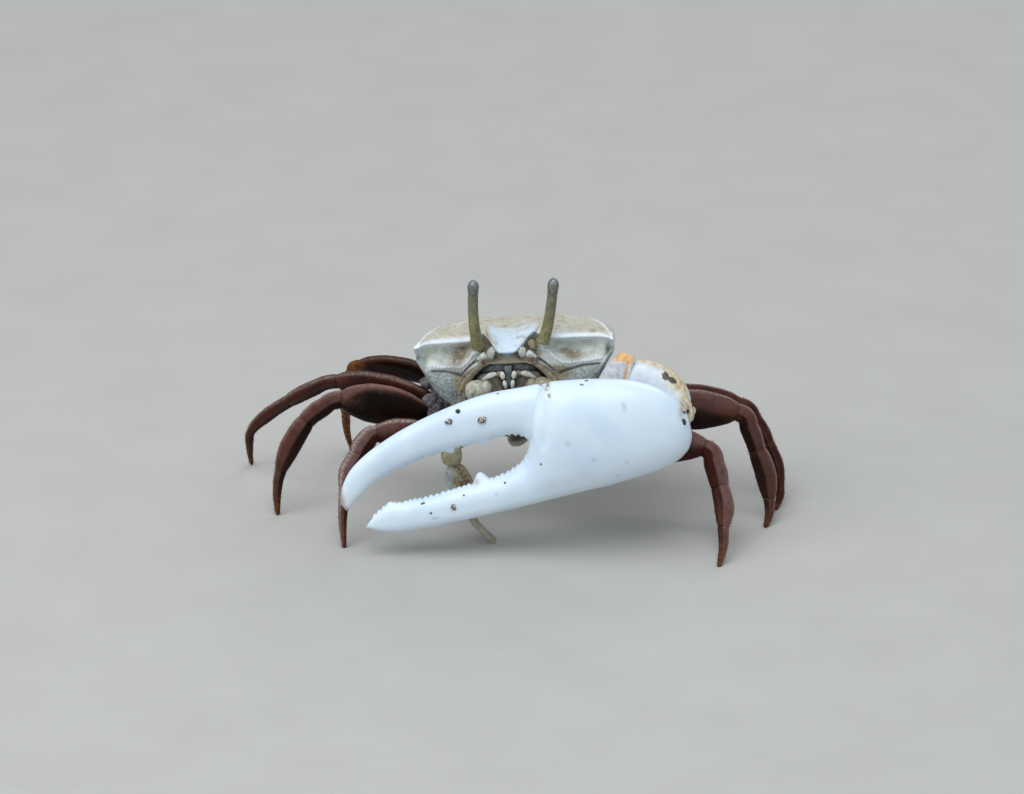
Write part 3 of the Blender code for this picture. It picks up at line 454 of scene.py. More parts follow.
def mouthFinish():
    f = Finish("mouthShell", (0.15, 0.14, 0.115), 0.45, coat=0.1, seep=0.04, specular=0.35)
    f.paint(f.cloud(0.4, 5, 0.42, 0.6), (0.24, 0.225, 0.18))
    f.tint("slate", (0.1, 0.105, 0.115), (0.2, 0.205, 0.21), 0.4, 4, 0.4, 0.62)
    f.tint("bone", (0.52, 0.52, 0.44), (0.38, 0.37, 0.28), 0.35, 4, 0.4, 0.62)
    f.tint("white", (0.72, 0.74, 0.7), (0.55, 0.56, 0.48), 0.25, 3, 0.4, 0.62)
    f.tint("tan", (0.22, 0.16, 0.08), (0.4, 0.33, 0.21), 0.25, 4, 0.4, 0.62)
    f.paint(f.mask("red"), (0.09, 0.045, 0.025))
    # the dark mask is painted shade in the creases, and the feeler whips' own dark rings
    f.paint(f.mask("dark"), (0.03, 0.028, 0.027))
    f.bump(f.fog(0.12, 4), 0.025)
    return f.done()


def speckFinish():
    f = Finish("stuckGrit", (0.035, 0.032, 0.034), 0.6)
    f.tint("tan", (0.34, 0.21, 0.1), (0.16, 0.1, 0.06), 0.12, 2)
    f.veil("mottled", (0.42, 0.36, 0.29), 0.3, 3, 0.47, 0.55)
    f.veil("mottled", (0.7, 0.7, 0.7), 0.17, 3, 0.52, 0.6)
    f.bump(f.fog(0.06, 3), 0.03)
    return f.done()


# The body's frame, tipped up at the front, turned and rolled
stance = dict(centre=(-0.25, 1.0, 14.6), pitch=10.0, yaw=-4.0, roll=-4.6)


def bodyMatrix():
    turn = Matrix.Rotation(math.radians(stance["yaw"]), 4, "Z")
    roll = Matrix.Rotation(math.radians(stance["roll"]), 4, "Y")
    tip = Matrix.Rotation(-math.radians(stance["pitch"]), 4, "X")
    return Matrix.Translation(stance["centre"]) @ turn @ roll @ tip


body = bodyMatrix()

# Outlines at each distance from the midline, on a side 10 wide; the claw's side is the broader
carapace = dict(
    leftHalf=10.3, rightHalf=8.65, stations=290,
    browY=((0, -6.2), (0.7, -6.2), (1.5, -5.95), (2.2, -5.5), (2.7, -5.1), (3.2, -5.15), (4.2, -5.45),
           (6.5, -5.4), (9, -5.5), (10, -5.75)),
    browZ=((0, 3.0), (0.7, 3.05), (1.5, 3.75), (2.2, 4.5), (2.7, 4.75), (3.2, 4.55), (4.2, 4.15),
           (8.5, 4.1), (9.4, 4.0), (10, 3.7)),
    floorY=((0, -5.0), (1.5, -4.6), (2.7, -4.1), (4, -4.0), (6.5, -4.2), (8.7, -4.6), (9.5, -4.9),
            (10, -4.7)),
    ridgeY=((0, -5.3), (3, -5.0), (5, -5.1), (8.7, -5.0), (10, -4.6)),
    ridgeZ=((0, 2.5), (2.4, 2.5), (3.1, 2.9), (3.8, 2.9), (4.6, 2.0), (5.5, 1.45), (7.7, 1.55), (8.9, 1.7),
            (9.5, 2.3), (10, 2.7)),
    bottomZ=((0, -4.1), (4, -4.0), (5.2, -3.7), (6.5, -2.8), (7.6, -1.6), (8.5, -0.3), (9.3, 1.1), (10, 2.1)),
    rearY=((0, 6.2), (4, 6.1), (5, 5.7), (6.5, 4.5), (8, 2.7), (9, 1.0), (9.6, -0.3), (10, -1.7)),
    crownZ=((0, 5.2), (4, 5.1), (7, 4.75), (8.6, 4.5), (9.4, 4.3), (10, 3.9)),
    rearFall=((0, 3.4), (5, 3.2), (8, 1.8), (9.3, 0.8), (10, 0.2)),
    shellSteps=(34, 28, 22, 16, 10, 10, 14, 22, 60, 60), orbitSteps=(44, 44),
    cornerReach={1: 10.1, -1: 10.6}, cornerY=-5.8, cornerZ=3.7,
    mouthHalf=((-6.0, 3.8), (-1.2, 4.25), (0.1, 3.75), (1.2, 2.7), (1.65, 1.9)), mouthTop=1.62,
    mouthFloor=-3.9,
    upperLip=((1.1, 2.35), (1.9, 2.2), (2.6, 2.3)),
    # grooves that part the back into its regions and the swellings between them, as (distance out, y)
    grooves=((0.13, ((1.3, -2.6), (2.1, -1.6), (2.3, -0.3), (2.0, 0.9), (1.1, 1.4), (0.0, 1.5))),
             (0.13, ((2.0, 0.9), (2.7, 2.2), (2.9, 3.6))),
             (0.1, ((2.3, -0.3), (4.0, -0.6), (5.4, -1.7), (6.3, -3.1))),
             (0.09, ((0.35, -5.6), (0.3, -4.2), (0.5, -3.0)))),
    swellings=((0.2, (5.0, 0.8), (2.6, 2.4)), (0.12, (4.4, -2.8), (1.7, 1.1)), (0.1, (0, -0.6), (1.5, 1.2)),
               (0.12, (0, 3.0), (1.6, 1.4))),
    sideRidge=((10.0, -5.4), (9.55, -4.0), (9.0, -2.2), (8.2, -0.2), (7.3, 1.6)),
    # lines of the front as (distance out, z): the eye socket's rim, the ridge under it, the cheek's seam
    rim=((2.9, 4.55), (4.2, 4.12), (6.5, 4.05), (8.5, 4.08), (9.6, 3.95)),
    sill=((8.9, 1.75), (7.6, 1.62), (6.2, 1.55), (5.2, 1.5), (4.5, 2.0), (3.9, 2.65), (3.2, 2.95)),
    seam=((8.6, 1.2), (7.0, 1.12), (5.6, 0.75), (4.9, 0.5)),
    lobeHalf=((2.4, 0.0), (2.6, 0.7), (3.4, 1.45), (4.2, 2.0), (4.9, 2.5), (5.5, 2.8)),
    lobeMarks=(((-2.0, 3.95), (-1.3, 4.1), (-0.9, 3.85)), ((1.0, 4.2), (1.6, 4.35), (2.3, 4.2))),
    # brown patches of the front as (x, z), half sizes and turn
    patches=(((-4.8, 2.6), (1.2, 0.7), 60), ((6.3, 2.15), (0.8, 0.42), 0), ((5.5, 2.5), (0.5, 0.25), 0),
             ((-4.9, 0.1), (0.5, 0.9), 0), ((5.2, 0.6), (0.8, 0.6), 0), ((-3.9, -1.9), (0.6, 0.9), 0)))


def mouthHalf(z):
    return steady(carapace["mouthHalf"], z)


def carapaceRows():
    c = carapace
    t = np.linspace(-1, 1, c["stations"])
    signed = 10 * (0.55 * t + 0.45 * np.sin(0.5 * math.pi * t))
    place, side = abs(signed), np.where(signed < 0, -1, 1)
    value = {key: steady(c[key], place) for key in
             ("browY", "browZ", "floorY", "ridgeY", "ridgeZ", "bottomZ", "rearY", "crownZ", "rearFall")}
    front, rear, brow, crown = value["browY"], value["rearY"], value["browZ"], value["crownZ"]
    low, fall, length = value["bottomZ"], value["rearFall"], rear - front
    ridgeY, ridgeZ, rearZ = value["ridgeY"], value["ridgeZ"], crown - fall
    shell = ((front, brow), (front + 0.14 * length, brow + 0.72 * (crown - brow)),
             (front + 0.4 * length, crown), (front + 0.7 * length, crown - 0.16 * fall),
             (front + 0.91 * length, crown - 0.55 * fall),
             (rear, rearZ), (rear - 0.03 * length, low + 0.5 * (rearZ - low)),
             (rear - 0.22 * length, low + 0.06 * (rearZ - low)), (ridgeY + 0.14 * length, low),
             (ridgeY - 0.02 * length, low + 0.4 * (ridgeZ - low)), (ridgeY, ridgeZ))
    orbit = ((ridgeY, ridgeZ), (value["floorY"], 0.45 * ridgeZ + 0.55 * brow), (front, brow))
    x = side * place * np.where(side > 0, c["leftHalf"], c["rightHalf"]) / 10

    def outline(points, steps):
        p = np.stack([np.stack([x, y, z], 1) for y, z in points], 1)
        spans = len(points) - 1
        shares = np.concatenate([(i + np.arange(n) / n) / spans for i, n in enumerate(steps)])
        return curve(p, shares)

    rows = np.concatenate([outline(shell, c["shellSteps"]), outline(orbit, c["orbitSteps"])], 1)
    for s, end in ((-1, 0), (1, -1)):  # blunt spines at the outer corners
        half = c["leftHalf"] if s > 0 else c["rightHalf"]
        tip = np.array([s * c["cornerReach"][s] * half / 10, c["cornerY"], c["cornerZ"]])
        grown = [tip + (rows[end] - tip) * (1 - k) ** 0.62
                 for k in (0.12, 0.25, 0.4, 0.55, 0.7, 0.82, 0.91, 0.97)]
        rows = np.concatenate([rows, grown]) if s > 0 else np.concatenate([grown[::-1], rows])
    return rows


def makeCarapace(finish):
    c = carapace

    def outward(rows):
        # distance from the midline, on a side 10 wide
        x = rows[..., 0]
        return np.where(x > 0, x / c["leftHalf"], -x / c["rightHalf"]) * 10

    rows = carapaceRows()
    wide, onRight = outward(rows), rows[..., 0] < 0
    rows = softened(rows, 0.85 * ease(8.7, 9.6, wide), 16)
    rows[..., 0] -= 0.4 * ease(3.0, 2.0, rows[..., 2]) * ease(6.5, 8.5, wide) * onRight
    x, y, z = xyz(rows)
    wide, normal = outward(rows), normals(rows)
    top = ease(0.25, 0.6, normal[..., 2]) * ease(1.5, 3.0, z)
    front = ease(0.15, 0.5, -normal[..., 1]) * ease(-2.0, -3.5, y)

    depth = sum(stroke(wide, y, path, 0.3) * deep for deep, path in c["grooves"])
    swelling = sum(spot(wide, y, middle, size) * tall for tall, middle, size in c["swellings"])
    ridge = stroke(wide, y, c["sideRidge"], 0.13)
    beads = ridge * (0.6 + 0.4 * np.sin(y * 2 * math.pi / 0.42))
    amount = top * (swelling - depth + 0.14 * beads) + 0.03 * grain(rows, 0.9) + 0.012 * grain(rows, 0.3)

    # front: rim of the eye sockets, ridge under them, swollen cheeks and the lobe between the eyes
    amount += front * (0.1 * stroke(wide, z, c["rim"], 0.14)
                       + stroke(wide, z, c["sill"], 0.13) * (0.12 + 0.05 * np.sin(x * 2 * math.pi / 0.36))
                       - 0.22 * stroke(wide, z, c["seam"], 0.14)
                       + 0.28 * spot(wide, z, (6.6, -0.4), (1.5, 1.5)))
    inLobe = steady(c["lobeHalf"], z) - abs(x - 0.1 - 0.2 * (z - 2.5))
    upLobe = ease(-2.6, -5.0, y + 0.9 * grain(rows, 0.8, 4)) * ease(2.35, 2.6, z)
    amount += 0.12 * ease(-0.1, 0.25, inLobe) * upLobe
    rows = pushed(rows, amount)
    x, y, z = xyz(rows)

    # the mouth is a hollow, with a raised band down each side
    inside = mouthHalf(z) - abs(x)
    below = ease(c["mouthTop"] + 0.1, c["mouthTop"] - 0.15, z)
    hollow = ease(-0.05, 0.25, inside) * below * (y < -3.2)
    rows[..., 1] = y + hollow * (c["mouthFloor"] - y)
    band = hill(inside + 0.5, 0.42) * ease(2.3, 1.6, z) * ease(-1.6, -0.4, z) * (y < -3.2)
    rows[..., 1] -= 0.35 * band * (1 - hollow)
    rows[..., 1] += 0.25 * stroke(abs(x), z, c["upperLip"], 0.3) * front * (1 - hollow)

    frost = ease(-0.15, 0.4, inLobe + 0.2 * grain(rows, 0.5)) * upLobe
    corner = ease(9.5, 9.9, wide) * ease(2.6, 3.2, z) * (y < -3.5)
    white = largest(held(front * stroke(wide, z, c["rim"], 0.32) * 1.7), corner, 0.8 * top * ridge,
                    0.75 * front * stroke(wide, z, c["sill"], 0.16))
    pearl = front * ease(2.6, 3.6, wide) * ease(1.1, 1.7, z) * ease(4.4, 3.9, z)
    grey = front * largest(spot(wide, z, (6.6, -0.6), (2.2, 2.6)),
                           0.8 * ease(2.8, 3.6, wide) * ease(1.6, 1.0, z),
                           0.75 * ease(8.6, 9.6, wide) * ease(3.6, 2.4, z))
    brown = front * np.clip(1.2 * largest(*(spot(x, z, *patch) for patch in c["patches"])), 0, 0.85)
    flecks = top * ease(0.36, 0.6, grain(rows, 0.42, 3)) * ease(0.0, 0.35, grain(rows, 2.4, 6))
    marks = sum(stroke(x, z, path, 0.1) for path in c["lobeMarks"])
    brown = largest(brown, 0.8 * flecks * ease(3.0, -1.0, y), 0.5 * marks * frost,
                    0.6 * hill(inLobe + 0.06, 0.09) * upLobe,
                    0.9 * top * spot(x, y, (8.4, -4.7), (0.35, 0.25)))
    tan = held(band * 1.1) * (1 - hollow) + 0.5 * front * ease(2.7, 2.3, z) * ease(1.5, 1.9, z) * (wide < 3)
    # painted shade: dark in the mouth's hollow and the lines beside its bands, in the cheek's seam, in the
    # pits beside the lobe and in a pit under the left corner
    lines = (hill(inside + 0.5, 0.05) + hill(inside + 0.95, 0.06)) * (y < -3.2)
    dark = largest(hollow * ease(0.1, 0.5, inside), 0.75 * front * stroke(wide, z, c["seam"], 0.09),
                   0.8 * front * spot(abs(x), z, (1.25, 2.35), (0.3, 0.22)),
                   0.75 * lines * ease(2.4, 1.9, z) * ease(-2.0, -1.0, z),
                   0.7 * spot(x, z, (9.75, 2.65), (0.2, 0.5)) * (y < 0))
    print("carapace done")
    return Shape("carapace").add(
        carry(body, rows), white=white, frost=frost, pearl=pearl, grey=held(grey), brown=held(brown),
        tan=held(tan), dark=held(dark), grainy=held(grey * 1.2 + 0.5 * ease(0.5, -1.0, z)),
    ).build(finish, "carapace", "carapace")


# Underside: the breastplate, and the base of every limb, as root, socket and radius on the right side
under = dict(
    topZ=-4.4, bottomZ=-6.0, half=3.9, frontY=-4.0, rearY=5.2,
    bases={"leg_1": ((3.0, -1.9, -5.5), (6.6, -2.9, -5.1), 1.0),
           "leg_2": ((3.2, 0.1, -5.7), (7.1, -0.2, -4.6), 1.0),
           "leg_3": ((3.2, 2.1, -5.6), (6.9, 3.1, -4.0), 0.9),
           "leg_4": ((2.8, 3.9, -5.1), (6.0, 5.6, -3.2), 0.85),
           "great": ((2.4, -3.2, -5.4), (4.9, -5.1, -5.3), 0.95),
           "small": ((2.4, -3.2, -5.3), (4.3, -4.9, -5.0), 0.8)},
    baseSizes=((0, 1.5, 1.5), (0.5, 2, 2), (0.8, 1.95, 1.9), (1, 1.7, 1.7)),
    # the tail flap's middle line from the rear forward, as (y, z, width)
    tail=((6.85, 1.1, 4.6), (7.3, -0.8, 4.6), (7.2, -3.2, 4.2), (6.4, -5.8, 3.8), (4.1, -7.1, 3.2),
          (1.2, -7.1, 2.4), (-1.4, -7.0, 1.7), (-2.6, -6.95, 0.9)),
    tailJoints=(0.13, 0.27, 0.42, 0.56, 0.7, 0.84))


def base(limb, side):
    root, socket, radius = under["bases"][limb]
    flip = np.array([side, 1, 1])
    return carry(body, np.array(root) * flip), carry(body, np.array(socket) * flip), radius


def makeUnderside(finish):
    u = under
    shape = Shape("breastplate")
    share = np.linspace(0, 1, 90)
    y = u["frontY"] + share * (u["rearY"] - u["frontY"])
    half = u["half"] * (0.45 + 0.55 * np.sin(math.pi * np.minimum(1, 0.16 + 0.7 * share)))
    angle = math.pi * np.linspace(0, 1, 61)
    drop = np.minimum((u["bottomZ"] - u["topZ"]) * np.sin(angle) ** 0.7, -0.25)
    lower = np.stack(np.broadcast_arrays(half[:, None] * np.cos(angle), y[:, None], u["topZ"] + drop), -1)
    groove = np.zeros(lower.shape[:2])
    for k in range(1, 5):  # joints of the breastplate run outward from the midline
        groove += hill(lower[..., 1] - (-3.2 + 1.75 * k) + 0.12 * abs(lower[..., 0]), 0.12)
    lower[..., 2] += 0.16 * groove + 0.3 * hill(lower[..., 0], 0.8)
    across = np.linspace(-0.96, 0.96, 24)
    roof = np.stack(np.broadcast_arrays(half[:, None] * across, y[:, None], u["topZ"]), -1)
    rows = np.concatenate([lower, roof], 1)
    # painted shade: the plate darkens towards the front and in its joints; it is also browner towards the
    # front
    shade = 0.75 * ease(-2.2, -3.6, rows[..., 1]) + 0.4 * np.pad(groove, ((0, 0), (0, 24)))
    shape.add(carry(body, rows), grainy=0.3, grey=0.3, brown=0.8 * ease(-1.5, -3.0, rows[..., 1]),
              dark=held(shade))
    limbs = [(f"leg_{n}", s) for n in range(1, 5) for s in (-1, 1)] + [("great", 1), ("small", -1)]
    for limb, s in limbs:
        root, socket, radius = base(limb, s)
        sizes = [(at, high * radius, thick * radius) for at, high, thick in u["baseSizes"]]
        rows, along, _ = tube((root, root + 0.5 * (socket - root), socket), sizes, upward, steps=30, sides=30,
                              endRound=0.14)
        amount = -0.09 * hill(along - 0.62, 0.03) + 0.05 * hill(along - 0.9, 0.05) + 0.03 * grain(rows, 0.6)
        # painted shade: each base darkens towards its socket, the small claw's most
        shape.add(pushed(rows, amount), brown=0.6, grey=0.7, grainy=0.5,
                  dark=0.6 * ease(0.3, 0.6, along) + 0.2 * (limb == "small"))
    print("underside done")
    return shape.build(finish, "breast", "breastplate")


def makeTail(finish):
    t = under["tail"]
    share = np.linspace(0, 1, 181)
    centre = curve([(0, y, z) for y, z, w in t], share)
    run = unit(np.gradient(centre, axis=0))
    out = np.stack([0 * share, -run[:, 2], run[:, 1]], 1)
    width = steady([(i / (len(t) - 1), w) for i, (y, z, w) in enumerate(t)], share) / 2
    joints = sum(hill(share - j, 0.012) for j in under["tailJoints"])
    ends = closing(share, 0.03, 0.02) * closing(1 - share, 0.05, 0.02)
    rows, along, _ = ringed(centre, out, right + 0 * out, 0.35 * (1 - 0.3 * joints) * ends,
                            width * (1 - 0.07 * joints) * ends, 56, 2.8, share)
    rows = pushed(rows, 0.02 * grain(rows, 0.5))
    print("tail flap done")
    return Shape("tailFlap").add(
        carry(body, rows), grainy=0.3, grey=0.25, dark=(0.5 * joints)[:, None] + 0 * along,
    ).build(finish, "breast", "tail_flap")


# Eyestalks in world millimetres, from base to top
eyes = dict(
    right=((-3.65, -3.8, 18.75), (-4.0, -4.35, 21.0), (-4.15, -4.2, 23.0), (-4.15, -4.1, 24.8),
           (-4.1, -4.0, 26.0)),
    left=((2.5, -4.45, 19.5), (3.0, -4.25, 21.0), (3.35, -4.1, 23.0), (3.55, -3.95, 24.9),
          (3.65, -3.85, 26.15)),
    stalk=((0, 1.6, 1.4), (0.08, 1.45, 1.3), (0.2, 1.2, 1.15), (0.5, 1.04, 1.02), (0.8, 1.02, 1.0),
           (1, 1.06, 1.04)),
    cornea=((0, 0.98, 0.97), (0.25, 1.07, 1.05), (0.6, 1.17, 1.14), (1, 1.02, 1.0)), share=0.69)


def makeEyes(skin, glass):
    for word in ("left", "right"):
        fine = curve(eyes[word], np.linspace(0, 1, 60))
        cut = int(60 * eyes["share"])
        rows, along, angle = tube(fine[:cut + 10], eyes["stalk"], right, steps=90, sides=36, startRound=0.05,
                                  endRound=0.05)
        # painted shadow: a dark band round one half of the stalk just above its base
        Shape(f"eyestalk_{word}").add(
            pushed(rows, 0.02 * grain(rows, 0.45) + 0.012 * grain(rows, 0.15)), grey=ease(0.3, 0.8, along),
            dark=0.5 * hill(along - 0.1, 0.03) * (np.cos(angle) > 0), beige=0.6 * ease(0.12, 0.0, along),
        ).build(skin, "eyestalk", f"eyestalk_{word}")
        rows, along, _ = tube(fine[cut - 3:], eyes["cornea"], right, steps=60, sides=48, startRound=0.2,
                              endRound=0.45)
        out = (rows - rows.mean(1, keepdims=True)) / 0.57
        fromMiddle = np.hypot(out[..., 0] / 0.78, (along - 0.58) / 0.44)  # the oval window that looks forward
        forward = ease(0.1, -0.2, out[..., 1])
        edge = hill(fromMiddle - 1, 0.13) * forward * (0.5 + 0.5 * ease(0.7, 0.2, along))
        rim = ease(0.9, 1.1, fromMiddle) * ease(0.9, 0.5, along) * forward
        amount = 0.03 * forward * ease(1.1, 0.8, fromMiddle) - 0.03 * edge + 0.006 * grain(rows, 0.2)
        # painted highlight: the tip mask lightens and blues the top of the eye
        Shape(f"eye_{word}").add(
            pushed(rows, amount), ring=edge, tip=0.8 * ease(0.62, 0.85, along),
            skin=rim + (1 - forward) * ease(0.7, 0.4, along),
        ).build(glass, "eye", f"eye_{word}")
    print("eyes done")


# Feelers and the parts between the eyes, as path and sizes in body millimetres on the left side
feelers = dict(
    whip=(((2.0, -6.0, 2.85), (2.75, -5.9, 2.45), (3.65, -5.8, 1.8), (4.6, -5.75, 0.9)),
          ((0, 0.75, 0.75), (0.18, 0.62, 0.62), (0.3, 0.34, 0.34), (1, 0.16, 0.16))),
    plump=(((1.15, -5.35, 3.45), (1.5, -5.7, 3.0), (1.6, -5.65, 2.25)),
           ((0, 0.45, 0.5), (0.45, 0.82, 0.85), (1, 0.55, 0.6))),
    stem=(((2.15, -4.9, 3.9), (2.5, -5.3, 3.5), (2.7, -5.2, 2.9)),
          ((0, 0.6, 0.7), (0.5, 0.8, 0.9), (1, 0.6, 0.7))),
    rings=34, cleft=1.62)


def makeFeelers(finish):
    f = feelers
    for word, side in (("left", 1), ("right", -1)):

        def form(key, **measures):
            path, sizes = f[key]
            return tube(np.array(path) * (side, 1, 1), sizes, (0, -1, 0), **measures)

        rows, along, _ = form("whip", steps=170, sides=16, startRound=0.05, endRound=0.03)
        rows = pushed(rows, 0.03 * np.sin(along * f["rings"] * 2 * math.pi) * ease(0.3, 0.36, along))
        dark = ease(0.34, 0.45, along) * (0.55 + 0.3 * np.sin(along * 40))
        shape = Shape(f"feeler_{word}")
        shape.add(carry(body, rows), white=ease(0.45, 0.3, along), dark=held(dark))
        plump, _, _ = form("plump", steps=40, sides=32, square=2.8, startRound=0.22, endRound=0.25)
        lean = plump[..., 0] * side - f["cleft"]
        plump = pushed(plump, 0.03 * grain(plump, 0.35) - 0.07 * hill(lean, 0.07))
        # painted shade: a dark line down the cleft of the plump base
        shape.add(carry(body, plump), white=0.75, dark=0.35 * hill(plump[..., 0] * side - f["cleft"], 0.06))
        stem, _, _ = form("stem", steps=24, sides=20, startRound=0.3, endRound=0.35)
        shape.add(carry(body, stem), tan=0.85)
        shape.build(finish, "mouthparts", f"feeler_{word}")
    print("feelers done")


# Mouthparts on the left side, in body millimetres: path, sizes, and how each is closed, creased and coloured
mouthForms = (
    # door of the mouth, jaw edge behind it, and the middle plate between the doors
    (((1.9, -4.7, -3.8), (2.1, -4.8, -1.6), (1.75, -4.65, 0.75)),
     ((0, 2.6, 0.9), (0.5, 3.1, 1.1), (1, 2.3, 0.9)),
     dict(ends=(0.1, 0.14), red=0.4, crease=((1.2, -3.0), (1.15, -0.8), (1.7, 0.1)))),
    (((0.1, -4.55, 1.4), (1.3, -4.5, 1.2), (2.7, -4.2, 0.9)),
     ((0, 1.0, 0.5), (0.5, 0.95, 0.6), (1, 0.6, 0.4)), dict(slate=0.9)),
    (((0.1, -4.75, 1.55), (0.12, -5.05, 0.8), (0.14, -4.95, -0.9)),
     ((0, 1.0, 0.5), (0.4, 0.5, 0.5), (1, 0.3, 0.4)), dict(slate=1.0)),
    # small white feelers with a tan joint
    (((1.0, -5.15, 0.72), (1.8, -5.22, 0.56), (2.7, -5.1, 0.1)),
     ((0, 0.35, 0.35), (0.45, 0.56, 0.45), (1, 0.25, 0.3)), dict(ends=(0.35, 0.5), white=0.9)),
    (((0.82, -5.2, 0.95), (1.0, -5.3, 0.7), (1.05, -5.2, 0.4)),
     ((0, 0.3, 0.3), (0.5, 0.36, 0.36), (1, 0.3, 0.3)), dict(tan=0.9)),
    (((0.66, -5.4, 0.98), (0.56, -5.58, 0.6), (0.48, -5.5, 0.2)),
     ((0, 0.36, 0.35), (0.45, 0.52, 0.45), (1, 0.36, 0.35)), dict(white=1.0)),
    (((0.44, -5.45, 0.12), (0.38, -5.55, -0.3), (0.33, -5.4, -0.8)),
     ((0, 0.3, 0.36), (0.5, 0.4, 0.38), (1, 0.22, 0.25)), dict(white=1.0)),
    # two knuckles, paler on the right side
    (((3.45, -5.2, -2.1), (3.25, -5.6, -0.8), (2.85, -5.2, 0.15)),
     ((0, 1.4, 0.9), (0.5, 2.15, 1.3), (1, 1.4, 0.9)),
     dict(ends=(0.25, 0.4), rough=0.07, crease=((3.55, -1.9), (3.5, -1.1), (3.1, -0.6)), knuckle=True)),
    (((2.4, -5.15, -1.4), (2.25, -5.5, -0.6), (2.3, -5.2, 0.1)),
     ((0, 0.7, 0.7), (0.5, 1.05, 0.9), (1, 0.7, 0.7)),
     dict(rough=0.06, crease=((2.75, -1.2), (2.65, -0.2)), knuckle=True)))


def addMouthForm(shape, side, path, sizes, ends=(0.25, 0.3), crease=None, rough=0.03, knuckle=False, **masks):
    rows, _, _ = tube(np.array(path) * (side, 1, 1), sizes, (0, -1, 0), steps=44, sides=36,
                      startRound=ends[0], endRound=ends[1])
    amount = rough * grain(rows, 0.5, side) + 0.012 * grain(rows, 0.16)
    if crease:
        amount -= 0.16 * stroke(rows[..., 0] * side, rows[..., 2], crease, 0.09)
        # painted shade: each crease is drawn dark as well as sunk
        masks["dark"] = 0.7 * stroke(rows[..., 0] * side, rows[..., 2], crease, 0.07)
    if knuckle:
        masks.update(dict(bone=1.0) if side < 0 else dict(bone=0.6, tan=0.5))
    shape.add(carry(body, pushed(rows, amount)), **masks)


def makeMouthparts(finish):
    for word, side in (("left", 1), ("right", -1)):
        shape = Shape(f"mouthpart_{word}")
        for path, sizes, look in mouthForms:
            addMouthForm(shape, side, path, sizes, **look)
        shape.build(finish, "mouthparts", f"mouthpart_{word}")
    print("mouthparts done")


# The great claw's own frame: x from the heel to the finger tips, y up its height, z inward
greatClaw = dict(
    heel=(17.3, -10.8, 12.32), droop=13.0, lean=10.0,
    # edge points of palm and fixed finger: upper edge, then lower edge, paired along the claw
    upper=((0.2, 1.2), (0.3, 2.4), (0.85, 3.75), (1.95, 5.1), (3.5, 6.2), (5.6, 7.1), (8.5, 7.8),
           (11.2, 8.22), (12.9, 8.35), (13.75, 7.6), (14.5, 6.6), (14.95, 5.4), (15.2, 4.2), (15.6, 3.1),
           (16.15, 1.95), (17.0, 1.1), (18.6, 0.45), (20.6, 0.15), (23.0, -0.02), (26.4, -0.3),
           (29.2, -0.3), (30.4, -0.2), (31.5, -0.65), (32.55, -1.4)),
    lower=((0.22, 0.9), (0.35, 0.05), (0.9, -0.95), (2.05, -1.68), (3.65, -2.15), (5.6, -2.47), (8.5, -2.72),
           (10.6, -2.8), (11.8, -2.83), (12.8, -2.87), (13.7, -2.9), (14.5, -2.94), (15.1, -2.97),
           (15.7, -3.0), (16.5, -3.04), (17.5, -3.08), (19.0, -3.13), (20.8, -3.18), (23.0, -3.22),
           (26.2, -3.24), (28.7, -3.18), (30.4, -3.0), (31.7, -2.63), (32.7, -2.15)),
    outHalf=((0, 0.15), (0.06, 1.2), (0.14, 2.1), (0.25, 2.9), (0.33, 3.15), (0.42, 2.75), (0.52, 2.2),
             (0.62, 1.75), (0.72, 1.4), (0.82, 1.15), (0.92, 0.75), (1, 0.3)),
    inHalf=((0, 0.15), (0.06, 1.0), (0.14, 1.75), (0.25, 2.3), (0.33, 2.5), (0.42, 2.2), (0.52, 1.8),
            (0.62, 1.45), (0.72, 1.2), (0.82, 1.0), (0.92, 0.6), (1, 0.25)),
    handTip=(33.25, -1.95, 0.0),
    top=((12.9, 8.3), (14.0, 8.42), (15.4, 8.45), (18.0, 8.55), (20.5, 8.35), (23.2, 7.9), (26, 7.25),
         (28.8, 6.35), (31.4, 5.2), (33.4, 3.85), (34.6, 2.2), (34.95, 0.85)),
    low=((14.3, 2.9), (15.65, 3.15), (16.2, 3.8), (17.0, 4.15), (18.6, 4.2), (20.6, 4.15), (22.9, 4.05),
         (25.2, 3.85), (27.4, 3.5), (29.6, 2.95), (31.4, 2.25), (33.0, 1.25), (34.15, 0.45)),
    fingerThick=((0, 3.2), (0.12, 3.2), (0.4, 2.7), (0.7, 2.0), (0.9, 1.1), (1, 0.5)),
    fingerTip=(34.6, 0.05, 0.0), fingerFold=((15.4, 5.6), (20.0, 5.9), (26.0, 5.2), (31.0, 3.4)),
    # big teeth as (place, height, half width); between them runs a row of small ones
    handTeeth=((21.15, 1.0, 0.62), (30.3, 0.25, 0.4)), fingerTeeth=((20.05, 0.6, 0.5), (23.5, 0.55, 0.42)),
    pitch=0.53,
    # grey smudges as (x, y, half width, half height), and the line of the joint with the finger
    smudges=((5.86, 5.06, 0.22, 0.42), (6.78, -0.37, 0.2, 0.14), (11.9, 2.9, 0.3, 0.2), (9.8, 0.6, 0.2, 0.15),
             (8.0, -1.6, 0.15, 0.12), (19.9, -1.1, 0.2, 0.1), (26.2, -2.2, 0.3, 0.12)),
    joint=((13.0, 8.25), (13.75, 7.55), (14.5, 6.55), (14.95, 5.4), (15.2, 4.2)),
    hingeStain=((12.6, 8.5), (12.85, 8.0), (12.7, 7.5)),
    # folds of the hand's outer face as (height, width, path), and the keel under the palm
    folds=((0.14, 0.45, ((13.4, 7.9), (14.2, 6.4), (14.8, 4.4), (15.5, 2.6), (17.4, 1.0))),
           (-0.12, 0.5, ((12.9, 6.6), (13.6, 4.6), (14.2, 3.0))),
           (-0.05, 0.6, ((11.0, -1.2), (15.0, -1.6), (19.0, -1.9), (25.0, -1.9)))),
    keel=((1.5, -1.5), (5.6, -2.65), (12.0, -3.1), (20.0, -3.4)))


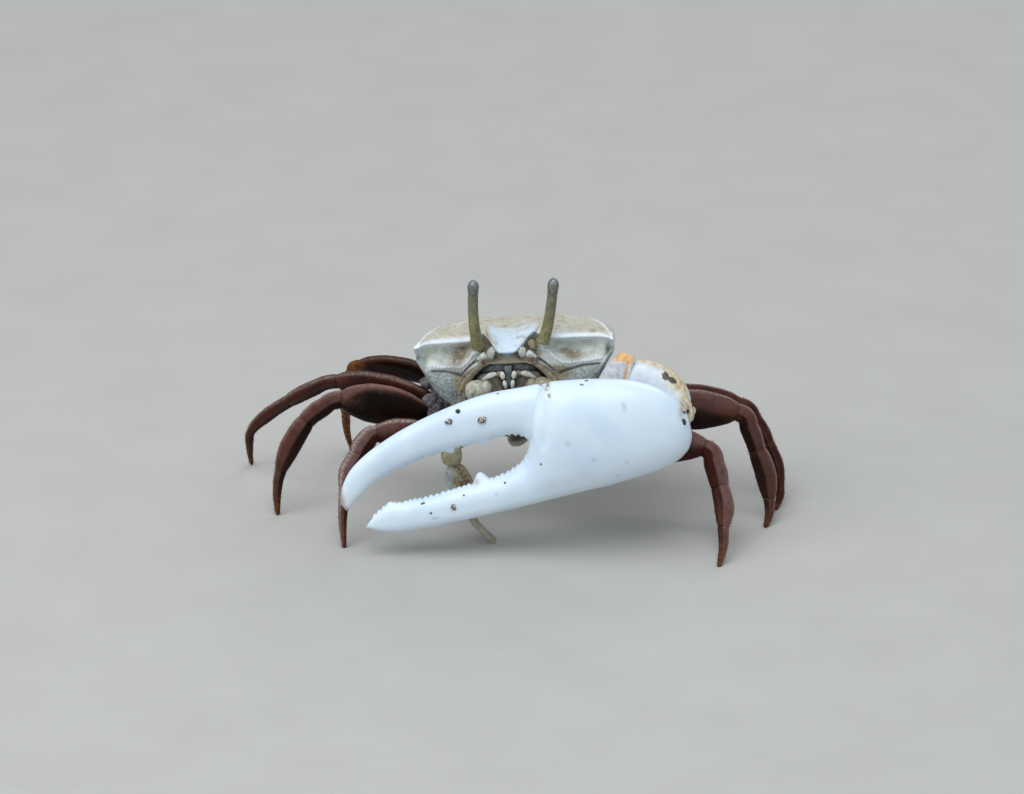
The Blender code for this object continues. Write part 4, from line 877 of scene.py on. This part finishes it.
def clawMatrix():
    g = greatClaw
    droop, lean = math.radians(g["droop"]), math.radians(g["lean"])
    length = Vector((-math.cos(droop), 0, -math.sin(droop)))
    out = Vector((0, -math.cos(lean), math.sin(lean)))
    out = (out - length * out.dot(length)).normalized()
    axes = Matrix((length, length.cross(out), -out)).transposed().to_4x4()
    return Matrix.Translation(g["heel"]) @ axes


claw = clawMatrix()


def teethAlong(place, big, start, end, seed):
    # height of the cutting edge's teeth at places along the claw
    draw = random.Random(seed)
    height = np.zeros(np.shape(place))
    at = start
    while at < end:
        tall, half = draw.uniform(0.16, 0.27), greatClaw["pitch"] * draw.uniform(0.42, 0.52)
        near = min(abs(at - t[0]) - t[2] for t in big)
        if near > -0.1:
            height = np.maximum(height, tall * np.clip(1 - abs(place - at) / half, 0, 1) ** 0.8)
        at += greatClaw["pitch"] * draw.uniform(0.85, 1.15)
    for middle, tall, half in big:
        bell = held(np.cos(np.clip((place - middle) / half, -1.57, 1.57)))
        height = np.maximum(height, tall * bell ** 1.3)
    return height


def clawEdge(points, shares):
    return curve([(*p, 0) for p in points], shares)[:, :2]


def bladeRows(top, low, outHalf, inHalf, sides, square):
    # rings strung between two edges: each from its upper edge point to its lower one
    middle, reach = (top + low) / 2, (top - low) / 2
    angle, c, s = ovalRing(sides, square)
    rows = np.zeros((len(top), sides, 3))
    rows[..., :2] = middle[:, None] + reach[:, None] * c[None, :, None]
    rows[..., 2] = np.where(s < 0, outHalf[:, None], inHalf[:, None]) * s
    return rows, angle[None] + np.zeros((len(top), 1))


def makeGreatHand(finish):
    g = greatClaw
    shares = np.linspace(0, 1, 560)
    top, low = clawEdge(g["upper"], shares), clawEdge(g["lower"], shares)
    rows, angle = bladeRows(top, low, steady(g["outHalf"], shares), steady(g["inHalf"], shares), 112, 2.25)
    onEdge = hill(wrapped(angle), 0.3)
    teeth = teethAlong(top[:, 0], g["handTeeth"], 15.9, 32.4, 3)
    rows[..., 1] += (teeth * ease(15.6, 16.2, top[:, 0]))[:, None] * onEdge
    x, y, z = xyz(rows)
    outer = ease(0, -0.6, z)
    amount = (sum(tall * outer * stroke(x, y, path, width) for tall, width, path in g["folds"])
              + 0.05 * stroke(x, y, g["keel"], 0.14) + 0.02 * grain(rows, 2.5) + 0.006 * grain(rows, 0.5))
    rows = pushed(rows, amount * ease(0.0, 0.4, x))
    hinge = stroke(x, y, g["hingeStain"], 0.2) * ease(-0.3, 0.1, grain(rows, 0.3))
    stain = largest(0.95 * outer * spot(x, y, (21.65, 0.5), (0.33, 0.42)), hinge,
                    0.8 * outer * spot(x, y, (0.55, 3.3), (0.3, 0.7), 20))
    smudge = largest(*(outer * spot(x, y, (u, v), (w, h)) for u, v, w, h in g["smudges"]),
                     0.7 * outer * stroke(x, y, g["joint"], 0.07))
    lowEdge = hill(y - np.interp(x, low[:, 0], low[:, 1]), 0.6)
    print("great hand done")
    return Shape("great_claw_hand").add(
        carry(claw, rows), endTip=carry(claw, g["handTip"]), stain=stain, smudge=smudge,
        grainy=held(lowEdge + 0.6 * onEdge * ease(15, 16, x)),
    ).build(finish, "great_claw", "great_claw_hand")


def makeGreatFinger(finish):
    g = greatClaw
    shares = np.linspace(0, 1, 420)
    top, low = clawEdge(g["top"], shares), clawEdge(g["low"], shares)
    thick = steady(g["fingerThick"], shares) / 2 * closing(shares, 0.05, 0.05)
    rows, angle = bladeRows(top, low, thick, thick * 0.9, 88, 2.2)
    onEdge = hill(wrapped(angle - math.pi), 0.3)
    teeth = teethAlong(low[:, 0], g["fingerTeeth"], 16.3, 30.5, 5) * ease(15.8, 16.4, low[:, 0])
    rows[..., :2] += (unit(low - top) * teeth[:, None])[:, None] * onEdge[..., None]
    x, y, z = xyz(rows)
    amount = (-0.035 * ease(0, -0.6, z) * stroke(x, y, g["fingerFold"], 0.8)
              - 0.16 * hill(shares - 0.045, 0.012)[:, None] + 0.02 * grain(rows, 2.5, 9)
              + 0.006 * grain(rows, 0.5))
    rows = pushed(rows, amount)
    hinge = stroke(x, y, ((12.9, 8.6), (13.25, 8.0)), 0.22) * ease(-0.3, 0.1, grain(rows, 0.3))
    grainy = held(hill(wrapped(angle), 0.5) + 0.6 * onEdge) * ease(14, 16, x)
    print("great finger done")
    return Shape("great_claw_finger").add(
        carry(claw, rows), endTip=carry(claw, g["fingerTip"]), grainy=grainy,
        stain=np.maximum(hinge, 0.7 * ease(34.2, 34.8, x)),
    ).build(finish, "great_claw", "great_claw_finger")


greatArm = dict(
    elbow=(11.0, -6.5, 16.6),
    carpus=((10.85, -6.48, 16.63), (13.1, -6.8, 16.1), (15.0, -7.6, 14.8), (15.9, -8.7, 13.5)),
    carpusSizes=((0, 3.7, 2.6), (0.2, 4.6, 3.0), (0.5, 4.85, 3.3), (0.8, 4.2, 2.9), (1, 3.1, 2.1)),
    merusSizes=((0, 1.9, 1.8), (0.3, 2.3, 2.1), (0.6, 2.9, 2.3), (0.76, 5.1, 2.4), (0.85, 5.35, 2.5),
                (0.92, 4.2, 2.5), (1, 2.7, 2.4)),
    # upright flutes of the first part, as (x, width), and the orange streak beside them
    flutes=((9.3, 0.1), (9.75, 0.07), (10.2, 0.1), (10.9, 0.14), (11.35, 0.08)),
    streak=((10.9, 19.2), (10.75, 18.2), (10.45, 16.6)),
    dirt=(((14.4, 17.62), (0.3, 0.27), -30), ((15.05, 17.28), (0.42, 0.19), -30)),
    # soft skin between the arm and the hand's heel, with a small knob beside it
    skin=((15.7, -9.0, 15.9), (16.45, -9.45, 14.9), (16.75, -9.85, 13.4)),
    skinSizes=((0, 0.5, 0.4), (0.35, 1.3, 0.55), (0.65, 1.35, 0.55), (1, 0.5, 0.4)),
    knob=((16.7, -8.9, 14.9), (17.1, -9.15, 14.5), (17.0, -9.25, 14.0)),
    knobSizes=((0, 0.35, 0.35), (0.5, 0.5, 0.45), (1, 0.35, 0.35)))


def makeGreatArm(finish):
    a = greatArm
    hip, elbow = base("great", 1)[1], np.array(a["elbow"])
    rows, along, _ = tube((hip, 0.5 * (hip + elbow), elbow), a["merusSizes"], (0, -1, 0), steps=190, sides=96,
                          startRound=0.05, endRound=0.012)
    # its end lies flat against the next part, which raises the peak at its outer corner
    run, face = unit(elbow - hip), unit(np.array(a["carpus"][1]) - elbow)
    lift = (rows - rows.mean(1, keepdims=True)) @ (face / (run @ face))
    rows = rows - run * (held((along - 0.6) / 0.4) * lift)[..., None]
    x, y, z = xyz(rows)
    flutes = [stroke(x, z, ((u - 0.1, 18.2), (u - 0.5, 16.4)), w) for u, w in a["flutes"]]
    cap = ease(18.55, 18.95, z + 0.2 * grain(rows, 0.4)) * ease(9.0, 9.6, x)
    streak = stroke(x, z, a["streak"], 0.17)
    Shape("great_claw_merus").add(
        pushed(rows, 0.02 * grain(rows, 0.7) - 0.06 * sum(flutes) - 0.05 * streak), mauve=held(1.05 - cap),
        orange=held(cap + 0.9 * streak + 0.35 * flutes[2] + 0.4 * flutes[4]), grainy=0.3,
    ).build(finish, "great_claw", "great_claw_merus")

    rows, along, angle = tube(a["carpus"], a["carpusSizes"], steps=170, sides=112, startRound=0.015,
                              endRound=0.2)
    edge = wrapped(angle)
    x, y, z = xyz(rows)
    patch = ease(0.4, 0.6, held(1.6 * sum(spot(x, z, *dab) for dab in a["dirt"])) + 0.3 * grain(rows, 0.3))
    rows = pushed(rows, 0.02 * grain(rows, 1.4) + 0.008 * grain(rows, 0.3) - 0.05 * hill(along - 0.03, 0.012)
                  + 0.03 * patch + 0.05 * hill(edge, 0.16))
    cream = hill(edge, 0.3) * ease(0.02, 0.2, along) + ease(0.8, 1.0, along)
    halo = 0.7 * spot(x, z, (15.3, 16.9), (0.9, 0.5), -40)
    shape = Shape("great_claw_carpus")
    shape.add(rows, frosted=0.8, cream=held((cream + halo) * (1.0 + 0.5 * grain(rows, 0.5))), dirt=patch,
              stain=0.5 * ease(0.35, 0.6, grain(rows, 0.25)) * spot(x, z, (16.1, 15.9), (0.6, 0.5)),
              grainy=0.6 * hill(edge, 0.35), orange=0.4 * ease(0.1, 0.02, along) * hill(edge, 0.4))
    skin, _, angle = tube(a["skin"], a["skinSizes"], (0, -1, 0), steps=70, sides=56, startRound=0.16,
                          endRound=0.2)
    creases = np.sin(np.cos(angle) * 9 + 2.5 * grain(skin, 0.9))
    skin = pushed(skin, 0.035 * creases + 0.03 * grain(skin, 0.35))
    x, y, z = xyz(skin)
    holes = np.maximum(spot(x, z, (16.55, 14.65), (0.2, 0.26)),
                       0.9 * spot(x, z, (17.15, 14.9), (0.13, 0.42), 25))
    shape.add(skin, cream=0.85, stain=held(0.25 - 0.25 * creases + 0.3 * grain(skin, 0.45)),
              dark=ease(0.35, 0.6, holes))
    knob, _, _ = tube(a["knob"], a["knobSizes"], (0, -1, 0), steps=30, sides=24, startRound=0.3, endRound=0.4)
    shape.add(pushed(knob, 0.03 * grain(knob, 0.3)), frosted=0.6, cream=0.5)
    shape.build(finish, "great_claw", "great_claw_carpus")
    print("great arm done")

# Knee, wrist, ankle and foot of each walking leg, and how its colours lie
legs = dict(
    points={"r1": ((-13.6, -4.0, 9.8), (-15.4, -5.5, 8.2), (-16.6, -7.7, 5.4), (-16.7, -9.3, 0)),
            "r2": ((-17.1, 0.0, 11.7), (-20.5, -0.3, 9.6), (-23.1, -0.9, 4.5), (-23.4, -1.5, 0)),
            "r3": ((-17.6, 5.3, 11.4), (-22.5, 7.1, 8.5), (-26.3, 9.3, 4.4), (-26.4, 10.9, 0)),
            "r4": ((-15.3, 8.4, 11.8), (-16.6, 10.6, 8.8), (-17.0, 12.6, 4.7), (-16.4, 14.3, 0)),
            "l1": ((18.3, -5.6, 9.0), (19.8, -8.0, 5.9), (20.1, -11.0, 3.0), (19.6, -13.8, 0)),
            "l2": ((21.6, -1.0, 10.8), (23.6, -1.6, 7.1), (24.8, -2.7, 2.3), (24.4, -4.5, 0)),
            "l3": ((21.9, 4.0, 9.5), (24.8, 2.9, 5.8), (26.0, 1.3, 1.9), (25.5, -0.3, 0)),
            "l4": ((13.3, 9.5, 9.6), (14.6, 11.5, 6.4), (15.2, 12.8, 3.2), (15.3, 13.9, 0))},
    merus={"r1": (3.2, -0.35), "r2": (4.0, 0.2), "r3": (3.5, 0.35), "r4": (3.0, 1.1),
           "l1": (3.8, -0.6), "l2": (4.0, 0.2), "l3": (3.3, 0.15), "l4": (3.0, 1.1)},
    scale={"1": (1.05, 0.98, 1.0), "2": (0.97, 1.05, 1.0), "3": (0.85, 0.72, 0.85), "4": (0.75, 0.65, 0.8)},
    # colours of each leg; shade is how far up the black of its long part reaches, from -1 to 1. The pink one
    # is a painted highlight and the pale one partly so, and l1 is painted lighter against the great claw's
    # shadow
    lookNames=("mauve", "olive", "black", "shade", "blush", "pale", "amber", "far", "line"),
    looks={"r1": (0.75, 0.0, 0.3, 0.2, 0.3, 1.0, 0.0, 0.0, 0.55),
           "r2": (0.38, 0.0, 1.0, 0.8, 0.8, 0.25, 0.0, 0.0, 0.22),
           "r3": (0.05, 0.08, 0.75, 0.6, 0.2, 0.45, 0.15, 0.0, 0.22),
           "r4": (0.0, 0.15, 0.85, 0.9, 0.1, 0.15, 0.5, 0.9, 0.22),
           "l1": (1.0, 0.0, 0.1, -0.3, 1.0, 0.3, 0.0, 0.0, 0.35),
           "l2": (0.5, 0.0, 0.9, 0.05, 0.45, 0.55, 0.25, 0.0, 0.22),
           "l3": (0.05, 0.0, 0.6, 0.25, 0.1, 0.5, 0.2, 0.0, 0.22),
           "l4": (0.2, 0.3, 0.3, 0.5, 0.1, 0.2, 0.3, 0.9, 0.22)},
    merusSizes=((0, 0.46, 0.42), (0.1, 0.52, 0.46), (0.17, 0.47, 0.4), (0.22, 0.56, 0.42), (0.38, 0.84, 0.44),
                (0.56, 1.0, 0.46), (0.7, 0.98, 0.45), (0.83, 0.82, 0.42), (0.93, 0.62, 0.39)),
    carpusSizes=((0.25, 1.82, 1.4), (0.6, 1.95, 1.5), (0.88, 1.82, 1.42)),
    propodusSizes=((0.15, 1.86, 1.35), (0.5, 1.98, 1.3), (0.8, 1.62, 1.15)),
    dactylSizes=((0.2, 1.02, 0.88), (0.5, 0.84, 0.7), (0.8, 0.6, 0.48), (1, 0.4, 0.36)),
    kneeSize=(1.65, 1.25), wristSize=(1.7, 1.32), ankleSize=(1.14, 0.94), arches=(0.3, 0.25, 0.2),
    gap=0.012, rim=0.12, bristles=26)


def legSizes(name):
    # height and thickness along the whole leg, whose four parts take a quarter of the way each
    g = legs
    height = g["merus"][name][0]
    scale = g["scale"][name[1]]
    sizes = [(s / 4, h * height, t * height) for s, h, t in g["merusSizes"]]
    knee = (0.5 * (g["kneeSize"][0] * scale[0] + 0.5 * height), g["kneeSize"][1] * scale[0])
    joints = (knee, [v * 0.5 * (scale[0] + scale[1]) for v in g["wristSize"]],
              [v * 0.5 * (scale[1] + scale[2]) for v in g["ankleSize"]])
    for k, part in enumerate(("carpusSizes", "propodusSizes", "dactylSizes")):
        sizes += [((k + 1) / 4, *joints[k])]
        sizes += [((k + 1 + s) / 4, h * scale[k], t * scale[k]) for s, h, t in g[part]]
    return sizes


def legMasks(part, look, along, level, front):
    # where each of the leg's colours lies on one of its parts; front is the angle from the crest to the
    # front. The pink mask is a painted highlight on the crest and knee; the pale band beside the crest is
    # partly beads, partly painted highlight; black darkens the lower side
    outer, crest = ease(-0.1, 0.1, level), ease(0.8, 0.96, level)
    if part == "merus":
        root, knee = ease(0.19, 0.155, along), ease(0.72, 1.0, along)
        clear = 1 - root
        black = look["black"] * ease(look["shade"] + 0.12, look["shade"] - 0.22, level + 0.5 * knee)
        line = look["pale"] * hill(front - look["line"], 0.17) * ease(0.2, 0.3, along)
        return dict(slate=root, black=held(black * clear),
                    mauve=look["mauve"] * ease(0.35, 0.85, along) * ease(-0.4, 0.4, level) * clear,
                    olive=look["olive"] * ease(0.1, 0.75, level) * clear,
                    blush=look["blush"] * np.maximum(crest, 0.7 * knee * ease(-0.5, 0.2, level)) * clear,
                    pale=np.maximum(line, 0.4 * root * hill(front, 0.7)),
                    amber=look["amber"] * ease(0.85, 1.0, along))
    lower = {"carpus": 0.0, "propodus": 0.1, "dactyl": 0.55}[part]
    return dict(mauve=look["mauve"] * outer * (1 - 0.6 * lower), olive=look["olive"] * ease(0.3, 0.9, level),
                black=held(look["black"] * (1 - outer) * 0.85 + 0.6 * hill(along - 0.015, 0.012)),
                blush=held(look["blush"] * (0.8 * crest + 0.6 * hill(along, 0.16) * outer)),
                pale=look["pale"] * (0.9 * hill(front - look["line"], 0.34) + 0.2 * hill(level - 0.02, 0.08)),
                amber=held(look["amber"] * hill(along, 0.1) + look["far"] + lower * ease(0.1, 0.9, along)))


def makeLeg(name, finish):
    g, side = legs, 1 if name[0] == "l" else -1
    look = dict(zip(g["lookNames"], g["looks"][name]))
    root, hip, radius = base(f"leg_{name[1]}", side)
    joints = [hip] + [np.array(p, float) for p in g["points"][name]]
    bend = unit(np.cross(joints[1] - joints[0], joints[4] - joints[1]))
    path = [joints[0]]
    for start, end, arch in zip(joints, joints[1:], (g["merus"][name][1], *g["arches"])):
        path += [0.5 * (start + end) + arch * unit(np.cross(end - start, bend)), end]
    whole = np.linspace(0, 1, 801)
    run = np.gradient(curve(path, whole), axis=0)
    even = np.ones(25) / 25
    run = unit(np.stack([np.convolve(np.pad(run[:, k], 12, "edge"), even, "valid") for k in range(3)], 1))
    sizes = legSizes(name)
    draw = random.Random(sum(map(ord, name)))
    for k, (part, steps) in enumerate((("merus", 170), ("carpus", 70), ("propodus", 80), ("dactyl", 70))):
        length = np.linalg.norm(joints[k + 1] - joints[k])
        local = (g["gap"] + bunched(steps, 0.85) * (length - (2 if k < 3 else 1) * g["gap"])) / length
        shares = (k + local) / 4
        way = sampled(shares, whole, run)
        across = unit(bend - way * (way @ bend)[:, None])
        up = np.cross(way, across)
        high, wide = halves(sizes, shares)
        near = np.minimum(local, 9 if k == 3 else 1 - local) * length
        ends = 0.9 + 0.1 * closing(near, g["rim"], 0)
        if k == 3:
            ends *= closing((1 - local) * length, 0.3, 0.01)
        rows, along, angle = ringed(curve(path, shares), up, across, high * ends, wide * ends, 48, 2.2, local)
        edge, level = wrapped(angle), np.cos(angle)
        crest = hill(edge, 0.26)
        if part == "merus":
            beads = 0.04 + 0.045 * np.sin(along * length * 2 * math.pi / 0.3)
            amount = crest * beads * ease(0.22, 0.35, along)
            amount -= 0.12 * hill(level - 0.1, 0.45) * ease(0.3, 0.6, along) * ease(0.95, 0.8, along)
            amount -= 0.1 * hill(along - 0.18, 0.012)
        else:
            amount = 0.07 * hill(level - 0.02, 0.1) - 0.06 * hill(level + 0.4, 0.3) + 0.03 * crest
            amount *= ease(0.0, 0.12, along)
        rows = pushed(rows, amount + 0.02 * grain(rows, 0.8) + 0.007 * grain(rows, 0.25))
        rows[..., 2] = np.maximum(rows[..., 2], 0.0)
        shape = Shape(f"leg_{name}_{part}")
        shape.add(rows, **legMasks(part, look, along, level, -edge * side))
        if k == 0:
            addHip(shape, root, hip, up[0], radius)
        else:
            addBristles(shape, rows, draw)
        shape.build(finish, "leg", f"leg_{name}_{part}")


def addHip(shape, root, hip, up, radius):
    # the short ring-like part between the leg's base and its long part, with lumps above it
    out = unit(hip - root)
    lumps = [(0.0, 0.0, 1.75), (0.55, 0.1, 1.3)]
    if shape.name[5] in "23":
        lumps += [(1.4, 1.5, 1.35), (1.0, 0.8, 1.4)]
    if shape.name[5] == "3":
        lumps += [(1.6, 2.8, 1.15)]
    for rise, reach, size in lumps:
        size *= radius
        middle = hip + (up * rise + out * reach) * radius
        rows, _, _ = tube((middle - out * 0.5 * radius, middle + out * 0.2, middle + out * 1.1 * radius),
                          ((0, size, size), (0.5, 1.1 * size, 1.1 * size), (1, 0.8 * size, 0.9 * size)),
                          upward, steps=26, sides=26, startRound=0.35, endRound=0.4)
        rows = pushed(rows, 0.07 * grain(rows, 0.5))
        shape.add(rows, slate=1.0, pale=held(0.2 + 0.5 * grain(rows, 0.4)))


def addBristles(shape, rows, draw):
    # short stiff hairs along the upper and lower edge of a leg's part
    middle = rows.mean(1)
    for _ in range(legs["bristles"]):
        ring = draw.randrange(6, len(rows) - 4)
        foot = rows[ring, draw.choice((0, 1, 47, 24, 23, 25))]
        out = unit(foot - middle[ring])
        way = unit(unit(middle[min(ring + 3, len(rows) - 1)] - middle[ring]) * draw.uniform(0.4, 1.0) + out)
        length, thick = draw.uniform(0.12, 0.3), draw.uniform(0.022, 0.034)
        if foot[2] + way[2] * length < 0.03:
            continue
        side = unit(np.cross(way, [0.3, 0.5, 0.8]))
        other = np.cross(way, side)
        start = foot - out * 0.03
        round_ = [side * math.cos(a) + other * math.sin(a) for a in (0, 2.1, 4.2)]
        rings = [[start + way * length * s + r * thick * (1 - 0.8 * s) for r in round_] for s in (0, 0.55, 1)]
        shape.add(np.array(rings), amber=1.0)


smallClaw = dict(
    elbow=(-6.3, -6.3, 9.6), wrist=(-6.2, -6.8, 7.6), knuckle=(-4.6, -7.2, 4.0), tip=(-2.1, -7.7, 0),
    merus=((0, 1.4, 1.2), (0.5, 1.9, 1.4), (1, 1.7, 1.4)),
    carpus=((0, 1.5, 1.3), (0.5, 2.1, 1.6), (1, 1.5, 1.3)),
    hand=((0, 1.5, 1.2), (0.3, 2.4, 1.5), (0.7, 2.5, 1.5), (1, 1.6, 1.2)),
    finger=((0, 0.95, 0.85), (0.3, 0.76, 0.66), (0.7, 0.56, 0.5), (1, 0.4, 0.42)))


def makeSmallClaw(finish):
    g = smallClaw
    hip = base("small", -1)[1]
    elbow, wrist, knuckle, tip = (np.array(g[k], float) for k in ("elbow", "wrist", "knuckle", "tip"))
    run = unit(tip - knuckle)
    back = unit(np.array([0, 1, 0]) - run * run[1])
    parts = (("merus", (hip, 0.5 * (hip + elbow), elbow + 0.2 * unit(elbow - hip))),
             ("carpus", (elbow - 0.4 * unit(wrist - elbow), 0.5 * (elbow + wrist), wrist)),
             ("hand", (wrist - 0.3 * unit(knuckle - wrist), 0.5 * (wrist + knuckle), knuckle)))
    for part, path in parts:
        rows, along, angle = tube(path, g[part], (0, -1, 0), steps=60, sides=40, startRound=0.2, endRound=0.2)
        stripes = np.sin(wrapped(angle) * 4 + 3 * grain(rows, 0.9))
        notch = hill(np.sin(angle - 0.4), 0.25) * ease(0.7, 0.2, along) * (part == "carpus")
        rows = pushed(rows, 0.05 * grain(rows, 0.5) + 0.02 * stripes - 0.25 * notch)
        # painted shade: the carpus's notch is painted brown as well as sunk
        brown = (0.95 if part == "hand" else 0.15) * (0.7 + 0.5 * stripes) + 0.7 * notch
        shape = Shape(f"small_claw_{part}")
        shape.add(rows, brown=held(brown), white=ease(-5.9, -6.5, rows[..., 0]) * (part == "hand"))
        if part == "hand":
            addFinger(shape, knuckle - run * 0.8 - back * 0.45, tip - back * 0.45, back)
        shape.build(finish, "small_claw", shape.name)
    shape = Shape("small_claw_finger")
    addFinger(shape, knuckle - run * 0.5 + back * 0.55, tip + back * 0.55, back)
    shape.build(finish, "small_claw", "small_claw_finger")
    print("small claw done")


def addFinger(shape, start, end, back):
    bowed = 0.5 * (start + end) + np.array([-0.5, 0, -0.3]) - back * 0.1
    across = np.cross(back, unit(end - start))
    rows, along, _ = tube((start, bowed, end), smallClaw["finger"], across, steps=70, sides=28,
                          startRound=0.1, endRound=0.0)
    rows = pushed(rows, 0.012 * grain(rows, 0.4))
    rows[..., 2] = np.maximum(rows[..., 2], 0.0)
    rows[-1, :, 2] = 0.0
    shape.add(rows, white=0.45 * ease(0.2, 0.7, along), brown=0.45 + 0.4 * grain(rows, 0.5))


# Bits of grit stuck to the claw's outer face, as (x, y, half width, half height, shade) in the claw's frame
grit = ((21.71, 7.68, 0.25, 0.22, "dark"), (22.77, 6.87, 0.36, 0.32, "mottled"),
        (19.59, 6.44, 0.44, 0.34, "mottled"), (17.6, 8.45, 0.09, 0.08, "dark"),
        (0.48, 2.84, 0.15, 0.17, "dark"), (0.64, 2.09, 0.19, 0.32, "dark"), (9.5, 7.74, 0.14, 0.12, "tan"),
        (9.0, 7.86, 0.18, 0.13, "tan"), (9.3, 7.66, 0.06, 0.06, "dark"), (14.93, 1.17, 0.09, 0.09, "dark"),
        (18.84, -0.17, 0.11, 0.1, "dark"), (23.01, -0.58, 0.09, 0.09, "dark"),
        (24.25, -1.48, 0.25, 0.34, "mottled"), (26.52, -1.63, 0.1, 0.1, "dark"),
        (27.1, -0.6, 0.24, 0.11, "tan"), (31.4, 0.5, 0.07, 0.06, "dark"))


def makeGrit(finish, carriers):
    bpy.context.evaluated_depsgraph_get()
    turn = claw.to_3x3()
    inward, length = np.array(turn @ Vector((0, 0, 1))), np.array(turn @ Vector((1, 0, 0)))
    shape = Shape("clawGrit")
    for k, (x, y, wide, tall, shade) in enumerate(grit):
        start = (claw @ Vector((x, y, -9))) * mm
        hits = [o.ray_cast(start, Vector(inward)) for o in carriers]
        hits = [h for h in hits if h[0]]
        if not hits:
            continue
        point = np.array(min(hits, key=lambda h: (h[1] - start).length)[1]) / mm
        small = min(wide, tall)
        path = [point - inward * 0.25 * small + length * wide * s for s in (-1, 0, 1)]
        rows, _, _ = tube(path, ((0, 2 * tall, 1.6 * small), (1, 2 * tall, 1.6 * small)), inward, steps=24,
                          sides=24, startRound=0.5, endRound=0.5)
        amount = 0.35 * small * grain(rows, 1.3 * small, k) + 0.1 * small * grain(rows, 0.5 * small, k)
        shape.add(pushed(rows, amount), tan=float(shade == "tan"), mottled=float(shade == "mottled"))
    shape.build(finish, "great_claw")
    print("grit done")


# Floor and sky, and each lamp's place, width, power and tint, in metres and watts
studio = dict(
    floorHalf=1.2, skyColour=(0.88, 0.95, 1.0, 1), skyStrength=0.42,
    lamps=dict(sky=((-0.08, -0.18, 0.47), 0.42, 1.8, (0.93, 0.98, 1.0)),
               left=((-0.42, -0.22, 0.28), 0.3, 0.6, (1.0, 0.99, 0.97)),
               back=((0.2, 0.42, 0.33), 0.3, 0.6, (0.96, 0.98, 1.0))))


def makeStudio():
    s = studio["floorHalf"]
    floorMesh = bpy.data.meshes.new("floor")
    floorMesh.from_pydata([(-s, -s, 0), (s, -s, 0), (s, s, 0), (-s, s, 0)], [], [(0, 1, 2, 3)])
    floor = bpy.data.objects.new("floor", floorMesh)
    bpy.context.scene.collection.objects.link(floor)
    f = Finish("floorPaint", (0.5, 0.49, 0.47), 0.85, specular=0.2)
    f.paint(f.cloud(9.0, 3, 0.3, 0.7), (0.48, 0.47, 0.45))
    floorMesh.materials.append(f.done())
    world = bpy.data.worlds.new("softSky")
    bpy.context.scene.world = world
    world.use_nodes = True
    sky = world.node_tree.nodes["Background"].inputs
    sky["Color"].default_value = studio["skyColour"]
    sky["Strength"].default_value = studio["skyStrength"]
    bpy.context.scene.view_settings.view_transform = "Standard"
    for name, (where, width, power, tint) in studio["lamps"].items():
        lamp = bpy.data.lights.new(name, "AREA")
        lamp.size, lamp.energy, lamp.color = width, power, tint
        holder = bpy.data.objects.new(name, lamp)
        holder.location = where
        holder.rotation_euler = (-Vector(where)).to_track_quat("-Z", "Y").to_euler()
        bpy.context.scene.collection.objects.link(holder)


# Millimetres and degrees; focal and shift are in pixels of a picture 1024 wide
lens = dict(away=700.0, rise=24, focal=7105.0, width=1024, shift=(4, 112), sensor=36.0)


def makeCamera():
    # the crab sits a little below the middle of the frame
    rise = math.radians(lens["rise"])
    look = Vector((0, math.cos(rise), -math.sin(rise)))
    lift = Vector((0, math.sin(rise), math.cos(rise)))
    data = bpy.data.cameras.new("camera")
    data.sensor_width, data.lens = lens["sensor"], lens["sensor"] * lens["focal"] / lens["width"]
    data.clip_start, data.clip_end = 0.05, 10
    camera = bpy.data.objects.new("camera", data)
    camera.location = -look * lens["away"] * mm
    aim = look * lens["focal"] - Vector((lens["shift"][0], 0, 0)) + lift * lens["shift"][1]
    camera.rotation_euler = aim.to_track_quat("-Z", "Y").to_euler()
    bpy.context.scene.collection.objects.link(camera)
    bpy.context.scene.camera = camera


makeCamera()
makeStudio()
shell, porcelain, legShell = shellFinish(), porcelainFinish(), legFinish()
makeCarapace(shell)
makeUnderside(shell)
makeTail(shell)
makeEyes(stalkFinish(), eyeFinish())
mouthShell = mouthFinish()
makeFeelers(mouthShell)
makeMouthparts(mouthShell)
hand = makeGreatHand(porcelain)
finger = makeGreatFinger(porcelain)
makeGreatArm(porcelain)
for legName in legs["points"]:
    makeLeg(legName, legShell)
print("legs done")
makeSmallClaw(smallClawFinish())
makeGrit(speckFinish(), (hand, finger))
